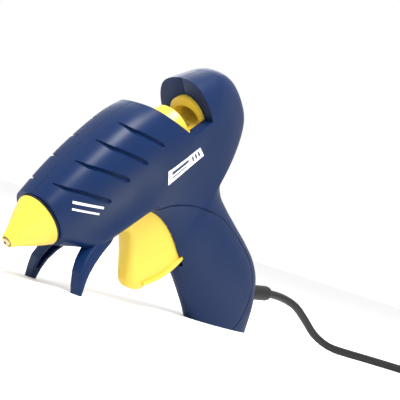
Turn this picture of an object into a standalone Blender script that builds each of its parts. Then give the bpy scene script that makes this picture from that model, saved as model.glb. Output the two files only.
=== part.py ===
"""Corded hobby glue gun, standing on its two front legs and the foot of its handle.

Metres, +Z up, +X towards the handle, the gun's left side towards -Y.
Most pieces are laid out in the barrel's own frame: u runs back from the nozzle tip along the barrel,
v stands up from it and y goes across. at() turns and lifts that frame into place.
"""
import math

import bmesh
import bpy
import numpy as np
from mathutils import Vector

# ---- driving sizes (metres) -------------------------------------------------------------------
GAP = 0.0003                # between pieces that touch
SPLIT = 0.00015             # each shell half stops this far from the centre plane
TILT = math.radians(43.2)   # the barrel points this far down
NOSE_HEIGHT = 0.0157        # nozzle tip above the table
CENTRE_X = 0.11353          # nozzle tip to the middle of the whole gun
WALL = 0.0024               # moulded wall of the shells

CONE_LENGTH = 0.0229        # yellow nose cone
CONE_R = 0.0149
FRONT_U = 0.0244            # front face of the blue body
FRONT_R = 0.0156
HOOP_U = 0.1412             # front face of the rear hoop
HOOP_REAR_U = 0.1765        # back end of the stick tunnel
LEDGE_V = -0.0003           # flat ledges beside the feeder
RIDGE_END_U = 0.1050        # where the top cover stops, at the ridge
COVER_SLANT = 0.66          # the cover's rear edge and the grooves lean back by this much
BORE_R = 0.0126             # tunnel in the hoop that the feeder's ring slides in
FEED_R = BORE_R - GAP       # feeder ring
STICK_W = 0.0120            # oval glue stick, across
STICK_H = 0.0090            # oval glue stick, upright
STICK_PLAY = 0.0006
FEED_STROKE = 0.0120
FEED_FRONT_U = 0.1125       # feeder at rest, front of the dome
FEED_EDGE_U = 0.1268        # rear edge of the dome
FEED_RING_U = 0.1400        # front of the ring
FEED_REAR_U = 0.1580
DOME_R = 0.0143

TRIGGER_PIVOT = (0.0930, -0.0220)
TRIGGER_STROKE = math.radians(14.2)
TRIGGER_HALF = 0.0068       # half its width
TRIGGER_PLAY = 0.0006
LIP_R = 0.0545              # outside of the finger lip, about the pivot
LIP_THICK = 0.0022
LIP_HALF = 0.0082
PAD_ANGLE = math.radians(18.35)   # the trigger's rear face, from straight down
LEVER_PIVOT = (0.1170, -0.0400)
LEVER_STROKE = math.radians(30.2)
LEVER_UP = 0.0230           # pivot to the tip that pushes the feeder
LEVER_DOWN = 0.0260         # pivot to the tip that the trigger pushes
LEVER_HALF = 0.0030
PIN_R = 0.0020              # steel pivot pins
BOSS_R = 0.0040

CHAMBER_R = 0.0092
CHAMBER_REAR_U = 0.0740
SCREW_R = 0.00145
SCREW_HEAD_R = 0.0028
SCREW_HEAD_H = 0.0016
RELIEF_R = 0.0048
RELIEF_LENGTH = 0.0240
CORD_R = 0.0026
WIRE_R = 0.0009

# ---- profile of the body: (u, v) along the top and back, then along the underside and the front of
# the handle, joined by straight chords; and the half section over each chord as (share, half width)
STATIONS = [
    # top u, v      bottom u, v       p1      share, width of four inner points            last
    (24.4, 15.6, 24.4, -15.6, 8.6, (0.10, 15.0), (0.50, 16.4), (0.80, 15.6), (0.97, 10.5), 3.0),
    (35.0, 18.6, 33.5, -21.5, 9.5, (0.10, 16.0), (0.42, 19.0), (0.72, 16.6), (0.94, 14.6), 9.0),
    (47.0, 21.6, 45.0, -28.0, 10.5, (0.10, 17.5), (0.42, 21.0), (0.72, 15.4), (0.94, 16.4), 14.5),
    (63.0, 24.9, 61.0, -29.6, 11.5, (0.11, 18.6), (0.42, 22.4), (0.74, 14.6), (0.93, 16.6), 15.0),
    (81.0, 27.6, 75.0, -30.2, 12.0, (0.12, 19.4), (0.43, 23.0), (0.72, 15.6), (0.93, 16.4), 15.0),
    (94.6, 28.5, 85.0, -31.0, 12.2, (0.12, 19.8), (0.42, 23.4), (0.70, 16.2), (0.93, 16.2), 14.0),
    (107.0, 27.8, 89.5, -33.0, 12.2, (0.12, 19.8), (0.42, 23.2), (0.70, 17.0), (0.92, 15.4), 11.0),
    (124.0, 26.2, 91.5, -35.5, 12.0, (0.13, 19.8), (0.42, 22.8), (0.70, 18.0), (0.92, 14.2), 8.5),
    (141.2, 23.6, 93.2, -38.4, 12.0, (0.14, 19.6), (0.40, 22.4), (0.68, 17.6), (0.92, 13.2), 7.5),
    (154.0, 21.3, 94.6, -41.4, 11.6, (0.14, 18.8), (0.38, 21.6), (0.66, 17.0), (0.92, 12.4), 7.0),
    (166.5, 17.4, 95.8, -44.6, 11.0, (0.13, 17.4), (0.36, 20.6), (0.66, 16.4), (0.92, 11.8), 6.8),
    (175.0, 8.0, 96.9, -48.0, 10.0, (0.12, 15.8), (0.36, 19.4), (0.66, 15.8), (0.92, 11.4), 6.6),
    (179.2, -5.0, 98.0, -51.8, 9.0, (0.12, 14.6), (0.36, 17.8), (0.66, 15.2), (0.92, 11.0), 6.4),
    (179.2, -17.5, 99.0, -56.0, 8.0, (0.12, 13.2), (0.38, 16.2), (0.66, 14.8), (0.92, 10.8), 6.4),
    (171.0, -27.5, 100.0, -60.5, 7.6, (0.12, 12.6), (0.38, 15.4), (0.66, 14.4), (0.92, 10.6), 6.4),
    (158.0, -34.0, 100.9, -65.5, 7.6, (0.12, 12.4), (0.38, 15.0), (0.68, 14.2), (0.92, 10.4), 6.4),
    (149.0, -42.0, 101.6, -71.0, 7.6, (0.12, 12.4), (0.38, 15.0), (0.70, 14.0), (0.92, 10.2), 6.4),
    (146.4, -52.0, 102.2, -77.0, 7.6, (0.12, 12.4), (0.38, 15.0), (0.72, 13.8), (0.93, 9.6), 5.4),
    (148.4, -63.5, 102.9, -84.0, 7.8, (0.12, 12.6), (0.38, 15.2), (0.72, 13.8), (0.93, 9.2), 4.6),
    (153.2, -80.0, 103.8, -94.0, 8.0, (0.12, 12.8), (0.38, 15.6), (0.72, 14.0), (0.93, 9.2), 4.2),
    (157.8, -95.0, 104.5, -104.0, 8.0, (0.12, 13.0), (0.38, 15.8), (0.72, 14.0), (0.93, 9.2), 4.2),
    (160.9, -109.0, 104.9, -114.0, 8.0, (0.12, 13.0), (0.38, 15.8), (0.72, 14.0), (0.93, 9.2), 4.2),
    (160.2, -122.0, 104.8, -124.0, 8.0, (0.12, 12.8), (0.38, 15.4), (0.72, 13.8), (0.93, 9.2), 4.2),
    (155.0, -134.5, 104.6, -136.0, 7.6, (0.12, 12.2), (0.38, 14.8), (0.72, 13.4), (0.93, 9.0), 4.2),
    (147.0, -144.0, 104.4, -150.0, 7.0, (0.12, 11.6), (0.38, 14.2), (0.72, 13.0), (0.93, 9.0), 4.2),
    (134.0, -154.0, 104.2, -168.0, 6.4, (0.12, 11.0), (0.38, 13.6), (0.72, 12.6), (0.93, 9.0), 4.2),
]
CAVITY_FIRST, CAVITY_LAST = 1, 24   # the stations that the hollow inside runs between

# ---- legs: height, front x, rear x (from the nozzle tip), inner and outer half width
LEG = [
    (-0.0040, 40.6, 43.8, 16.6, 22.4),
    (0.0000, 40.0, 43.6, 16.0, 21.8),
    (0.0060, 38.8, 44.2, 14.8, 21.2),
    (0.0120, 38.5, 45.6, 13.4, 20.5),
    (0.0180, 40.2, 48.6, 11.6, 19.3),
    (0.0240, 44.0, 53.0, 9.2, 17.6),
    (0.0310, 50.5, 59.5, 7.0, 15.2),
    (0.0370, 56.5, 64.5, 5.0, 12.0),
]
LEG_WALL = 0.0018

# screws: (u, v) of each, all along y
SCREWS = [(0.0385, -0.0185), (0.0800, 0.0195), (0.1640, -0.0220), (0.1140, -0.0980), (0.1325, -0.1300)]

# grooves in the barrel's side: (u, v) of the start near the ridge, of the bend, and of the end
GROOVES = [
    ((0.0338, 0.0179), (0.0358, 0.0149), (0.0584, -0.0053)),
    ((0.0510, 0.0221), (0.0527, 0.0190), (0.0726, -0.0002)),
    ((0.0679, 0.0253), (0.0691, 0.0218), (0.0865, 0.0027)),
    ((0.0843, 0.0273), (0.0857, 0.0233), (0.1003, 0.0061)),
]
GROOVE_DEPTH = 0.0013
GROOVE_WIDE = 0.0024

# the cord's route after its sleeve, chosen by hand (metres, table at z = 0)
CORD_ROUTE = [
    (0.130, 0.000, 0.0266), (0.146, -0.001, 0.0236), (0.160, -0.002, 0.0166), (0.173, -0.004, 0.0086),
    (0.187, -0.008, 0.0037), (0.2005, -0.0135, 0.0028), (0.2150, -0.0210, 0.0028),
    (0.2293, -0.0304, 0.0028), (0.2451, -0.0428, 0.0028), (0.2598, -0.0543, 0.0028),
]
COIL_CENTRE = (0.2968, -0.0416)
COIL_R = 0.0270             # middle of the turns
COIL_BUNDLE_W = 0.0170      # turns that lie side by side
COIL_BUNDLE_H = 0.0160      # three layers of them
PLUG_END_R = 0.0212         # the plug lies on the coil: where the cord enters it, from the coil's middle
PLUG_END_TURN = math.radians(112)
PLUG_LENGTH = 0.0350
PLUG_HALF_H = 0.0067


# ---- frames and small helpers -----------------------------------------------------------------
def at(u, v, y=0.0):
    """Barrel frame to world."""
    x = u * math.cos(TILT) - v * math.sin(TILT) - CENTRE_X
    z = u * math.sin(TILT) + v * math.cos(TILT) + NOSE_HEIGHT
    return Vector((x, y, z))


def clear_scene():
    for obj in list(bpy.data.objects):
        bpy.data.objects.remove(obj, do_unlink=True)


def material(name, colour, roughness, metallic=0.0):
    mat = bpy.data.materials.new(name)
    mat.use_nodes = True
    shader = mat.node_tree.nodes["Principled BSDF"]
    shader.inputs["Base Color"].default_value = (*colour, 1.0)
    shader.inputs["Roughness"].default_value = roughness
    shader.inputs["Metallic"].default_value = metallic
    return mat


def new_object(name, bm, mat=None, origin=None):
    bmesh.ops.remove_doubles(bm, verts=bm.verts, dist=1e-7)
    bmesh.ops.recalc_face_normals(bm, faces=bm.faces)
    if origin is not None:
        bmesh.ops.translate(bm, verts=bm.verts, vec=-Vector(origin))
    mesh = bpy.data.meshes.new(name)
    bm.to_mesh(mesh)
    bm.free()
    obj = bpy.data.objects.new(name, mesh)
    bpy.context.scene.collection.objects.link(obj)
    if origin is not None:
        obj.location = origin
    if mat:
        mesh.materials.append(mat)
    return obj


def rings_to_bm(rings, close_ends=True):
    """Skins a list of equal closed rings, with filled ends."""
    bm = bmesh.new()
    rows = [[bm.verts.new(p) for p in ring] for ring in rings]
    count = len(rows[0])
    for a, b in zip(rows, rows[1:]):
        for i in range(count):
            j = (i + 1) % count
            bm.faces.new((a[i], a[j], b[j], b[i]))
    if close_ends:
        bm.faces.new(rows[0][::-1])
        bm.faces.new(rows[-1])
    return bm


def lathe(profile, centre=(0.0, 0.0), squash=1.0, steps=24):
    """A solid of revolution about the barrel axis from a closed outline of (u, r); squash flattens v."""
    bm = bmesh.new()
    rows = []
    for k in range(steps):
        a = 2 * math.pi * k / steps
        rows.append([bm.verts.new(at(u, centre[1] + r * math.cos(a) * squash, r * math.sin(a)))
                     for u, r in profile])
    count = len(profile)
    for k in range(steps):
        a, b = rows[k], rows[(k + 1) % steps]
        for i in range(count):
            j = (i + 1) % count
            if profile[i][1] < 1e-9 and profile[j][1] < 1e-9:
                continue
            bm.faces.new((a[i], a[j], b[j], b[i]))
    bmesh.ops.remove_doubles(bm, verts=bm.verts, dist=1e-8)
    return bm


def prism(points, y0, y1):
    """An outline in the barrel frame, extruded across from y0 to y1."""
    bm = bmesh.new()
    low = [bm.verts.new(at(u, v, y0)) for u, v in points]
    high = [bm.verts.new(at(u, v, y1)) for u, v in points]
    count = len(points)
    bm.faces.new(low[::-1])
    bm.faces.new(high)
    for i in range(count):
        j = (i + 1) % count
        bm.faces.new((low[i], low[j], high[j], high[i]))
    return bm


def circle(u, v, r, steps=24, start=0.0, sweep=2 * math.pi):
    full = abs(sweep - 2 * math.pi) < 1e-9
    count = steps if full else steps + 1
    return [(u + r * math.cos(start + sweep * k / steps), v + r * math.sin(start + sweep * k / steps))
            for k in range(count)]


def rod(u, v, r, y0, y1, steps=20):
    return prism(circle(u, v, r, steps), y0, y1)


def block(u0, u1, v0, v1, y0, y1):
    return prism([(u0, v0), (u1, v0), (u1, v1), (u0, v1)], y0, y1)


def cutter(name, bm):
    obj = new_object(name, bm)
    obj.hide_render = True
    obj.display_type = "WIRE"
    return obj


def triangulate(mesh):
    bm = bmesh.new()
    bm.from_mesh(mesh)
    bmesh.ops.triangulate(bm, faces=bm.faces)
    bm.to_mesh(mesh)
    bm.free()


def is_closed(mesh):
    bm = bmesh.new()
    bm.from_mesh(mesh)
    closed = all(len(edge.link_faces) == 2 for edge in bm.edges)
    bm.free()
    return closed and len(mesh.polygons) > 3


def boolean(obj, tool, operation):
    """Applies one boolean and throws the tool away. EXACT comes first, MANIFOLD where it leaves a gap."""
    triangulate(obj.data)
    triangulate(tool.data)
    mod = obj.modifiers.new(tool.name, "BOOLEAN")
    mod.operation = operation
    mod.object = tool
    for solver in ("EXACT", "MANIFOLD"):
        mod.solver = solver
        graph = bpy.context.evaluated_depsgraph_get()
        graph.update()
        mesh = bpy.data.meshes.new_from_object(obj.evaluated_get(graph))
        if is_closed(mesh):
            break
    obj.modifiers.remove(mod)
    old = obj.data
    obj.data = mesh
    bpy.data.meshes.remove(old)
    bpy.data.objects.remove(tool, do_unlink=True)
    return obj


def cut(obj, bm):
    return boolean(obj, cutter("cut", bm), "DIFFERENCE")


def add(obj, bm):
    return boolean(obj, cutter("add", bm), "UNION")


def tidy(obj):
    """Merges the slivers that booleans leave on flat faces."""
    bm = bmesh.new()
    bm.from_mesh(obj.data)
    bmesh.ops.remove_doubles(bm, verts=bm.verts, dist=2e-6)
    bmesh.ops.dissolve_limit(bm, angle_limit=math.radians(0.6), verts=bm.verts, edges=bm.edges)
    bmesh.ops.triangulate(bm, faces=bm.faces)
    mesh = bpy.data.meshes.new(obj.name)
    bm.to_mesh(mesh)
    bm.free()
    if is_closed(mesh):
        obj.data = mesh
    return obj


def set_material(obj, mat):
    obj.data.materials.clear()
    obj.data.materials.append(mat)
    for face in obj.data.polygons:
        face.material_index = 0


def world_box(x0, x1, y0, y1, z0, z1):
    bm = bmesh.new()
    bmesh.ops.create_cube(bm, size=1.0)
    for v in bm.verts:
        v.co = Vector((x0 if v.co.x < 0 else x1, y0 if v.co.y < 0 else y1, z0 if v.co.z < 0 else z1))
    return bm


# ---- the body's skin --------------------------------------------------------------------------
def station_rows(inset):
    """The control rows, as (u, v, y) points in metres, moved inwards by inset."""
    top = np.array([s[0:2] for s in STATIONS]) / 1000
    low = np.array([s[2:4] for s in STATIONS]) / 1000
    rows = []
    for i, s in enumerate(STATIONS):
        a, b = max(i - 1, 0), min(i + 1, len(STATIONS) - 1)
        t1 = top[b] - top[a]
        t2 = low[b] - low[a]
        n1 = np.array([t1[1], -t1[0]]) / np.linalg.norm(t1)
        n2 = np.array([-t2[1], t2[0]]) / np.linalg.norm(t2)
        p = top[i] + inset * n1
        q = low[i] + inset * n2
        shares = [(0.0, 0.0), (0.0, s[4]), s[5], s[6], s[7], s[8], (1.0, s[9]), (1.0, 0.0)]
        row = []
        for share, width in shares:
            w = width / 1000
            if width > 0:
                w = max(w - inset, 0.0015)
            at_chord = p + (q - p) * share
            row.append((at_chord[0], at_chord[1], w))
        rows.append(row)
    return np.array(rows)


def catmull(values, steps):
    """Passes a smooth curve through rows of values, with steps points for each span."""
    count = len(values)
    out = []
    for i in range(count - 1):
        p0 = values[max(i - 1, 0)]
        p1, p2 = values[i], values[i + 1]
        p3 = values[min(i + 2, count - 1)]
        for k in range(steps):
            t = k / steps
            out.append(0.5 * (2 * p1 + (p2 - p0) * t + (2 * p0 - 5 * p1 + 4 * p2 - p3) * t * t
                              + (3 * p1 - p0 - 3 * p2 + p3) * t ** 3))
    out.append(values[-1])
    return np.array(out)


def bspline_weights(count, samples):
    """Weights of a clamped cubic B-spline with count control points, at even parameters."""
    knots = np.concatenate([np.zeros(3), np.linspace(0, 1, count - 2), np.ones(3)])
    ts = np.linspace(0, 1, samples)
    weights = np.zeros((samples, count))
    for row, t in enumerate(ts):
        t = min(t, 1 - 1e-12)
        basis = [1.0 if knots[i] <= t < knots[i + 1] else 0.0 for i in range(len(knots) - 1)]
        for degree in (1, 2, 3):
            nxt = []
            for i in range(len(basis) - 1):
                left = knots[i + degree] - knots[i]
                right = knots[i + degree + 1] - knots[i + 1]
                value = 0.0
                if left > 0:
                    value += (t - knots[i]) / left * basis[i]
                if right > 0:
                    value += (knots[i + degree + 1] - t) / right * basis[i + 1]
                nxt.append(value)
            basis = nxt
        weights[row] = basis
    return weights


def skin(inset=0.0, steps=3, samples=15, first=0, last=None):
    """Grid of (u, v, y) points over one half of the body."""
    rows = station_rows(inset)[first:last]
    dense = catmull(rows, steps)
    weights = bspline_weights(rows.shape[1], samples)
    return np.einsum("tc,scx->stx", weights, dense)


def half_body(name, side, inset=0.0, shift=SPLIT, steps=2, samples=13, first=0, last=None):
    """One closed half of the body: its skin, the flat parting face and flat ends."""
    grid = skin(inset, steps, samples, first, last)
    bm = bmesh.new()
    rows = [[bm.verts.new(at(u, v, side * (shift + y))) for u, v, y in row] for row in grid]
    for a, b in zip(rows, rows[1:]):
        for i in range(len(a) - 1):
            bm.faces.new((a[i], a[i + 1], b[i + 1], b[i]))
        bm.faces.new((a[0], a[-1], b[-1], b[0]))
    bm.faces.new(rows[0])
    bm.faces.new(rows[-1])
    return new_object(name, bm)


def groove_cutter(grid, places, side):
    """A slot that follows the skin through its three places, narrow at the ridge and wider down the side."""
    u_at = np.array([p[0] for p in places])[::-1]
    v_at = np.array([p[1] for p in places])[::-1]
    points = []
    for column in range(grid.shape[1]):
        line = grid[:60, column]
        value = line[:, 0] - np.interp(line[:, 1], v_at, u_at)
        order = np.argsort(value)
        points.append([float(np.interp(0.0, value[order], line[order, k])) for k in range(3)])
    points = np.array(points)
    inside = (points[:, 1] < v_at[-1]) & (points[:, 1] > v_at[0])
    points = points[inside]
    across = np.concatenate([[0], np.cumsum(np.linalg.norm(np.diff(points, axis=0), axis=1))])
    rings = []
    for k in range(9):
        s = across[-1] * k / 8
        p = np.array([np.interp(s, across, points[:, j]) for j in range(3)])
        near, far = max(s - 0.002, 0.0), min(s + 0.002, across[-1])
        p0 = np.array([np.interp(near, across, points[:, j]) for j in range(3)])
        p1 = np.array([np.interp(far, across, points[:, j]) for j in range(3)])
        along = (p1 - p0) / np.linalg.norm(p1 - p0)
        lean = np.array([1.0, 0.0, 0.0])
        out = np.cross(along, lean)
        out /= np.linalg.norm(out)
        if out[2] < 0:
            out = -out
        half = 0.5 * GROOVE_WIDE * (0.35 + 0.65 * min(1.0, k / 4))
        depth = GROOVE_DEPTH * (0.5 if k in (0, 8) else 1.0)
        ring = []
        for du, dn in ((-half, -depth), (half, -depth), (half, 0.004), (-half, 0.004)):
            c = p + lean * du + out * dn
            ring.append(at(c[0], c[1], side * (SPLIT + c[2])))
        rings.append(ring)
    return rings_to_bm(rings)


# ---- shells -----------------------------------------------------------------------------------
def leg_rings(side, wall=0.0, low=0, high=None, open_inside=False):
    rings = []
    for z, x0, x1, y0, y1 in LEG[low:high]:
        x0, x1, y0, y1 = x0 / 1000 - CENTRE_X, x1 / 1000 - CENTRE_X, y0 / 1000, y1 / 1000
        if open_inside:
            x0, x1, y0, y1 = x0 + wall, x1 - wall, y0 - 0.004, y1 - wall
        chamfer = 0.0 if open_inside else min(0.0012, 0.3 * (x1 - x0))
        ring = [(x0, y0), (x1, y0), (x1, y1 - chamfer), (x1 - chamfer, y1), (x0 + chamfer, y1),
                (x0, y1 - chamfer)]
        rings.append([Vector((x, side * y, z)) for x, y in ring])
    return rings


def solid_inside(side):
    """Bosses, ribs and the stick tunnel that stay solid inside one shell."""
    far = side * 0.030
    near = side * SPLIT
    y0, y1 = min(near, far), max(near, far)
    parts = []
    for u, v in SCREWS:
        parts.append(rod(u, v, BOSS_R + (0.0008 if side > 0 else 0.0), y0, y1, 16))
    hub = side * (TRIGGER_HALF + GAP)
    parts.append(rod(*TRIGGER_PIVOT, BOSS_R, min(hub, far), max(hub, far), 16))
    hub = side * (LEVER_HALF + 0.0012)
    parts.append(rod(*LEVER_PIVOT, BOSS_R, min(hub, far), max(hub, far), 16))
    parts.append(block(0.0664, 0.0682, -0.0145, 0.040, y0, y1))
    parts.append(block(HOOP_U - 0.0005, HOOP_U + 0.0024, LEDGE_V - WALL, 0.040, y0, y1))
    parts.append(block(RIDGE_END_U, HOOP_U + 0.001, LEDGE_V - WALL, LEDGE_V + 0.0002, y0, y1))
    tunnel = lathe([(HOOP_U, 0.0), (HOOP_REAR_U + 0.02, 0.0), (HOOP_REAR_U + 0.02, BORE_R + 0.0020),
                    (HOOP_U, BORE_R + 0.0020)])
    parts.append(tunnel)
    parts.append(block(0.1545, 0.1565, -0.0215, -0.0130, y0, y1))
    return parts


def hoop_cutter(side):
    """The open cut-out between the top cover and the hoop, with the hoop's face leaning in a little."""
    lean = math.tan(math.radians(6))
    near, far = side * -0.001, side * 0.030
    v_low, v_high = LEDGE_V, 0.045
    ridge = RIDGE_END_U + COVER_SLANT * 0.0278
    rings = []
    for y in (near, far):
        back = HOOP_U - lean * (abs(y) - 0.0195) if y == far else HOOP_U + lean * 0.0195
        ring = [(ridge - COVER_SLANT * v_low, v_low), (back, v_low), (back, v_high),
                (ridge - COVER_SLANT * v_high, v_high)]
        rings.append([at(u, v, y) for u, v in ring])
    return rings_to_bm(rings)


def trigger_mouth(half):
    outline = [(0.0665, -0.0245), (0.0840, -0.0165), (0.1010, -0.0165), (0.1035, -0.0300),
               (0.1150, -0.0500), (0.1215, -0.0640), (0.1215, -0.0700), (0.1130, -0.0800),
               (0.0955, -0.0790), (0.0600, -0.0900), (0.0560, -0.0600), (0.0620, -0.0400)]
    return prism(outline, -half, half)


def lip_slot():
    pu, pv = TRIGGER_PIVOT
    inner, outer = LIP_R - LIP_THICK - 0.0006, LIP_R + 0.0006
    start, sweep = math.radians(-100), math.radians(50)
    points = circle(pu, pv, outer, 10, start, sweep)
    points += circle(pu, pv, inner, 10, start, sweep)[::-1]
    return prism(points, -(LIP_HALF + 0.0006), LIP_HALF + 0.0006)


def shell(name, side, mat):
    outer = half_body(name, side)
    hollow = half_body("hollow", side, inset=WALL, shift=-0.001, steps=2, samples=9,
                       first=CAVITY_FIRST, last=CAVITY_LAST)
    inside = solid_inside(side)
    for bm in inside:
        hollow = cut(hollow, bm)
    hollow = cut(hollow, block(-0.01, 0.0315, -0.05, 0.05, -0.04, 0.04))
    hollow = cut(hollow, world_box(-0.3, 0.3, -0.1, 0.1, -0.1, WALL))
    add(outer, rings_to_bm(leg_rings(side)))
    boolean(outer, hollow, "DIFFERENCE")
    cut(outer, rings_to_bm(leg_rings(side, LEG_WALL, 2, 6, True)))
    floor = world_box(-0.3, 0.3, -0.1, 0.1, -0.1, 0.0)
    cut(outer, floor)
    cut(outer, hoop_cutter(side))
    # nose collar and its groove, the feeder's slot and tunnel, the stick inlet
    cut(outer, lathe([(0.0, 0.0), (0.040, 0.0), (0.040, 0.0121), (0.0289, 0.0121), (0.0289, 0.0138),
                      (0.0263, 0.0138), (0.0263, 0.0121), (0.0, 0.0121)]))
    cut(outer, lathe([(0.0650, 0.0), (0.0700, 0.0), (0.0700, CHAMBER_R + GAP), (0.0650, CHAMBER_R + GAP)]))
    slot_half = DOME_R + 0.0004
    cut(outer, block(RIDGE_END_U - 0.006, 0.1290, -0.020, LEDGE_V + 0.002, -slot_half, slot_half))
    cut(outer, block(0.1285, HOOP_U + 0.004, -0.020, LEDGE_V + 0.002, -BORE_R, BORE_R))
    cut(outer, lathe([(HOOP_U - 0.006, 0.0), (0.1610, 0.0), (0.1610, BORE_R), (HOOP_U - 0.006, BORE_R)],
                     steps=40))
    inlet = (STICK_W / 2 + 0.0014)
    ratio = (STICK_H / 2 + 0.0014) / inlet
    cut(outer, lathe([(0.1500, 0.0), (0.200, 0.0), (0.200, inlet + 0.0045), (0.1790, inlet + 0.0045),
                      (0.1745, inlet), (0.1500, inlet)], squash=ratio))
    cut(outer, trigger_mouth(TRIGGER_HALF + TRIGGER_PLAY))
    cut(outer, lip_slot())
    # pivot pins, screws
    cut(outer, rod(*TRIGGER_PIVOT, PIN_R + GAP, -0.0125, 0.0125, 16))
    cut(outer, rod(*LEVER_PIVOT, PIN_R + GAP, -0.0105, 0.0105, 16))
    for u, v in SCREWS:
        if side > 0:
            cut(outer, rod(u, v, SCREW_R + GAP, -0.001, 0.030, 14))
            cut(outer, rod(u, v, SCREW_HEAD_R + GAP, 0.0065, 0.030, 16))
        else:
            cut(outer, rod(u, v, SCREW_R + GAP, -0.0105, 0.001, 14))
    # cord: seat for the sleeve's collar and the hole it leaves through
    cut(outer, sleeve_solid(GAP))
    grid = skin(0.0, 6, 61)
    for places in GROOVES:
        cut(outer, groove_cutter(grid, places, side))
    tidy(outer)
    set_material(outer, mat)
    return outer


# ---- heat parts -------------------------------------------------------------------------------
def nose_cone(mat):
    """Heat-proof nose: a hollow cone with a collar and a flange that the shells grip."""
    outline = [(0.0012, 0.0033), (0.0070, 0.0062), (0.0150, 0.0108), (0.0229, 0.0149),
               (0.0229, 0.0118), (0.0266, 0.0118), (0.0266, 0.0135), (0.0286, 0.0135), (0.0286, 0.0118),
               (0.0310, 0.0118), (0.0310, 0.0102), (0.0235, 0.0102), (0.0150, 0.0086), (0.0076, 0.0048),
               (0.0050, 0.0031), (0.0012, 0.0031)]
    return new_object("nose_cone", lathe(outline, steps=36), mat)


def seal_ring(mat):
    inner, outer = 0.0121, FRONT_R - 0.0006
    outline = [(0.0232, inner), (0.0232, outer), (FRONT_U - GAP, outer), (FRONT_U - GAP, inner)]
    return new_object("seal_ring", lathe(outline, steps=40), mat)


def nozzle_tip(mat):
    outline = [(0.0, 0.0009), (0.0, 0.0019), (0.0006, 0.0026), (0.0064, 0.0026), (0.0064, 0.0034),
               (0.0072, 0.0034), (0.0072, 0.0009)]
    return new_object("nozzle_tip", lathe(outline, steps=24), mat)


def melt_chamber(mat):
    bore = STICK_W / 2 + STICK_PLAY
    outline = [(0.0075, 0.0009), (0.0075, 0.0040), (0.0150, 0.0042), (0.0215, CHAMBER_R),
               (CHAMBER_REAR_U, CHAMBER_R), (CHAMBER_REAR_U, bore), (0.0280, bore), (0.0230, 0.0016)]
    return new_object("melt_chamber", lathe(outline), mat)


def heater_block(mat):
    return new_object("heater_ptc", block(0.0400, 0.0610, -0.0140, -CHAMBER_R - GAP, -0.0060, 0.0060), mat)


def heater_clip(mat):
    """Spring band that presses the heater against the chamber."""
    r = CHAMBER_R + GAP
    thick = 0.0006
    start = math.radians(-28)
    sweep = math.radians(236)
    arc_out = circle(0, 0, r + thick, 14, start, sweep)
    left, right = arc_out[-1], arc_out[0]
    low = -0.0143
    outline = arc_out + [(left[0], low - thick), (right[0], low - thick)]
    inner = [(right[0] - thick, low), (left[0] + thick, low)] + circle(
        0, 0, r, 14, start + sweep, -sweep)
    rings = []
    for u in (0.0440, 0.0570):
        rings.append([at(u, v, y) for y, v in outline])
    obj = new_object("heater_clip", rings_to_bm(rings), mat)
    rings = []
    for u in (0.0430, 0.0580):
        rings.append([at(u, v, y) for y, v in inner])
    cut(obj, rings_to_bm(rings))
    set_material(obj, mat)
    return obj


def inlet_sleeve(mat):
    """Silicone sleeve that keeps molten glue from running back."""
    inner = STICK_W / 2 + STICK_PLAY
    outline = [(CHAMBER_REAR_U + GAP, inner), (CHAMBER_REAR_U + GAP, inner + 0.0022),
               (0.0890, inner + 0.0014), (0.0890, inner)]
    return new_object("inlet_sleeve", lathe(outline), mat)


def sleeve_clamp(mat):
    r = STICK_W / 2 + STICK_PLAY + 0.0022 + GAP
    outline = [(0.0765, r), (0.0765, r + 0.0008), (0.0800, r + 0.0008), (0.0800, r)]
    return new_object("sleeve_clamp", lathe(outline), mat)


# ---- feed -------------------------------------------------------------------------------------
def feeder(mat):
    """Yellow feeder: a domed front shell, an open window with the jaw, and a long rear ring."""
    outline = [(FEED_FRONT_U, 0.0), (FEED_FRONT_U, 0.0098), (FEED_FRONT_U + 0.0030, 0.0120),
               (FEED_FRONT_U + 0.0070, 0.0135), (FEED_EDGE_U - 0.0010, DOME_R), (FEED_EDGE_U, DOME_R),
               (FEED_EDGE_U, FEED_R), (FEED_REAR_U, FEED_R), (FEED_REAR_U, 0.0)]
    obj = new_object("feeder", lathe(outline, steps=32), mat)
    add(obj, block(FEED_FRONT_U + 0.0030, 0.1290, -0.0206, -0.0060, -0.0055, 0.0055))
    # window over the jaw and the oval stick hole with its funnel
    cut(obj, block(FEED_EDGE_U, FEED_RING_U, -0.0030, 0.0200, -0.0200, 0.0200))
    hole = STICK_W / 2 + STICK_PLAY
    ratio = (STICK_H / 2 + STICK_PLAY) / hole
    cut(obj, lathe([(0.1000, 0.0), (0.1700, 0.0), (0.1700, hole + 0.0140), (FEED_REAR_U - 0.0020, hole),
                    (FEED_RING_U + 0.0025, hole), (FEED_RING_U - 0.0005, hole + 0.0030),
                    (FEED_RING_U - 0.0006, hole), (0.1000, hole)], squash=ratio, steps=24))
    # slot for the lever's tip, and the pocket for the jaw with its pin
    tip = LEVER_PIVOT[0] + LEVER_UP * math.sin(LEVER_STROKE / 2)
    cut(obj, block(tip - 0.0031, tip + 0.0031, -0.0300, -0.0125, -0.0045, 0.0045))
    cut(obj, block(0.1148, tip - 0.0035, -0.0300, -0.0030, -0.0032, 0.0032))
    cut(obj, rod(0.1172, -0.0112, 0.0010 + GAP, -0.020, 0.020, 14))
    set_material(obj, mat)
    return obj


def grip_jaw(mat):
    """Toothed jaw that bites the stick; its origin is on its pin."""
    outline = [(0.1156, -0.0136), (0.1192, -0.0136), (0.1192, -0.0090), (0.1186, -0.0062),
               (0.1180, -0.0070), (0.1174, -0.0062), (0.1168, -0.0070), (0.1162, -0.0062),
               (0.1156, -0.0090)]
    pivot = at(0.1172, -0.0112)
    obj = new_object("grip_jaw", prism(outline, -0.0029, 0.0029), mat, pivot)
    cut(obj, rod(0.1172, -0.0112, 0.0010 + GAP, -0.010, 0.010, 14))
    set_material(obj, mat)
    return obj


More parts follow.
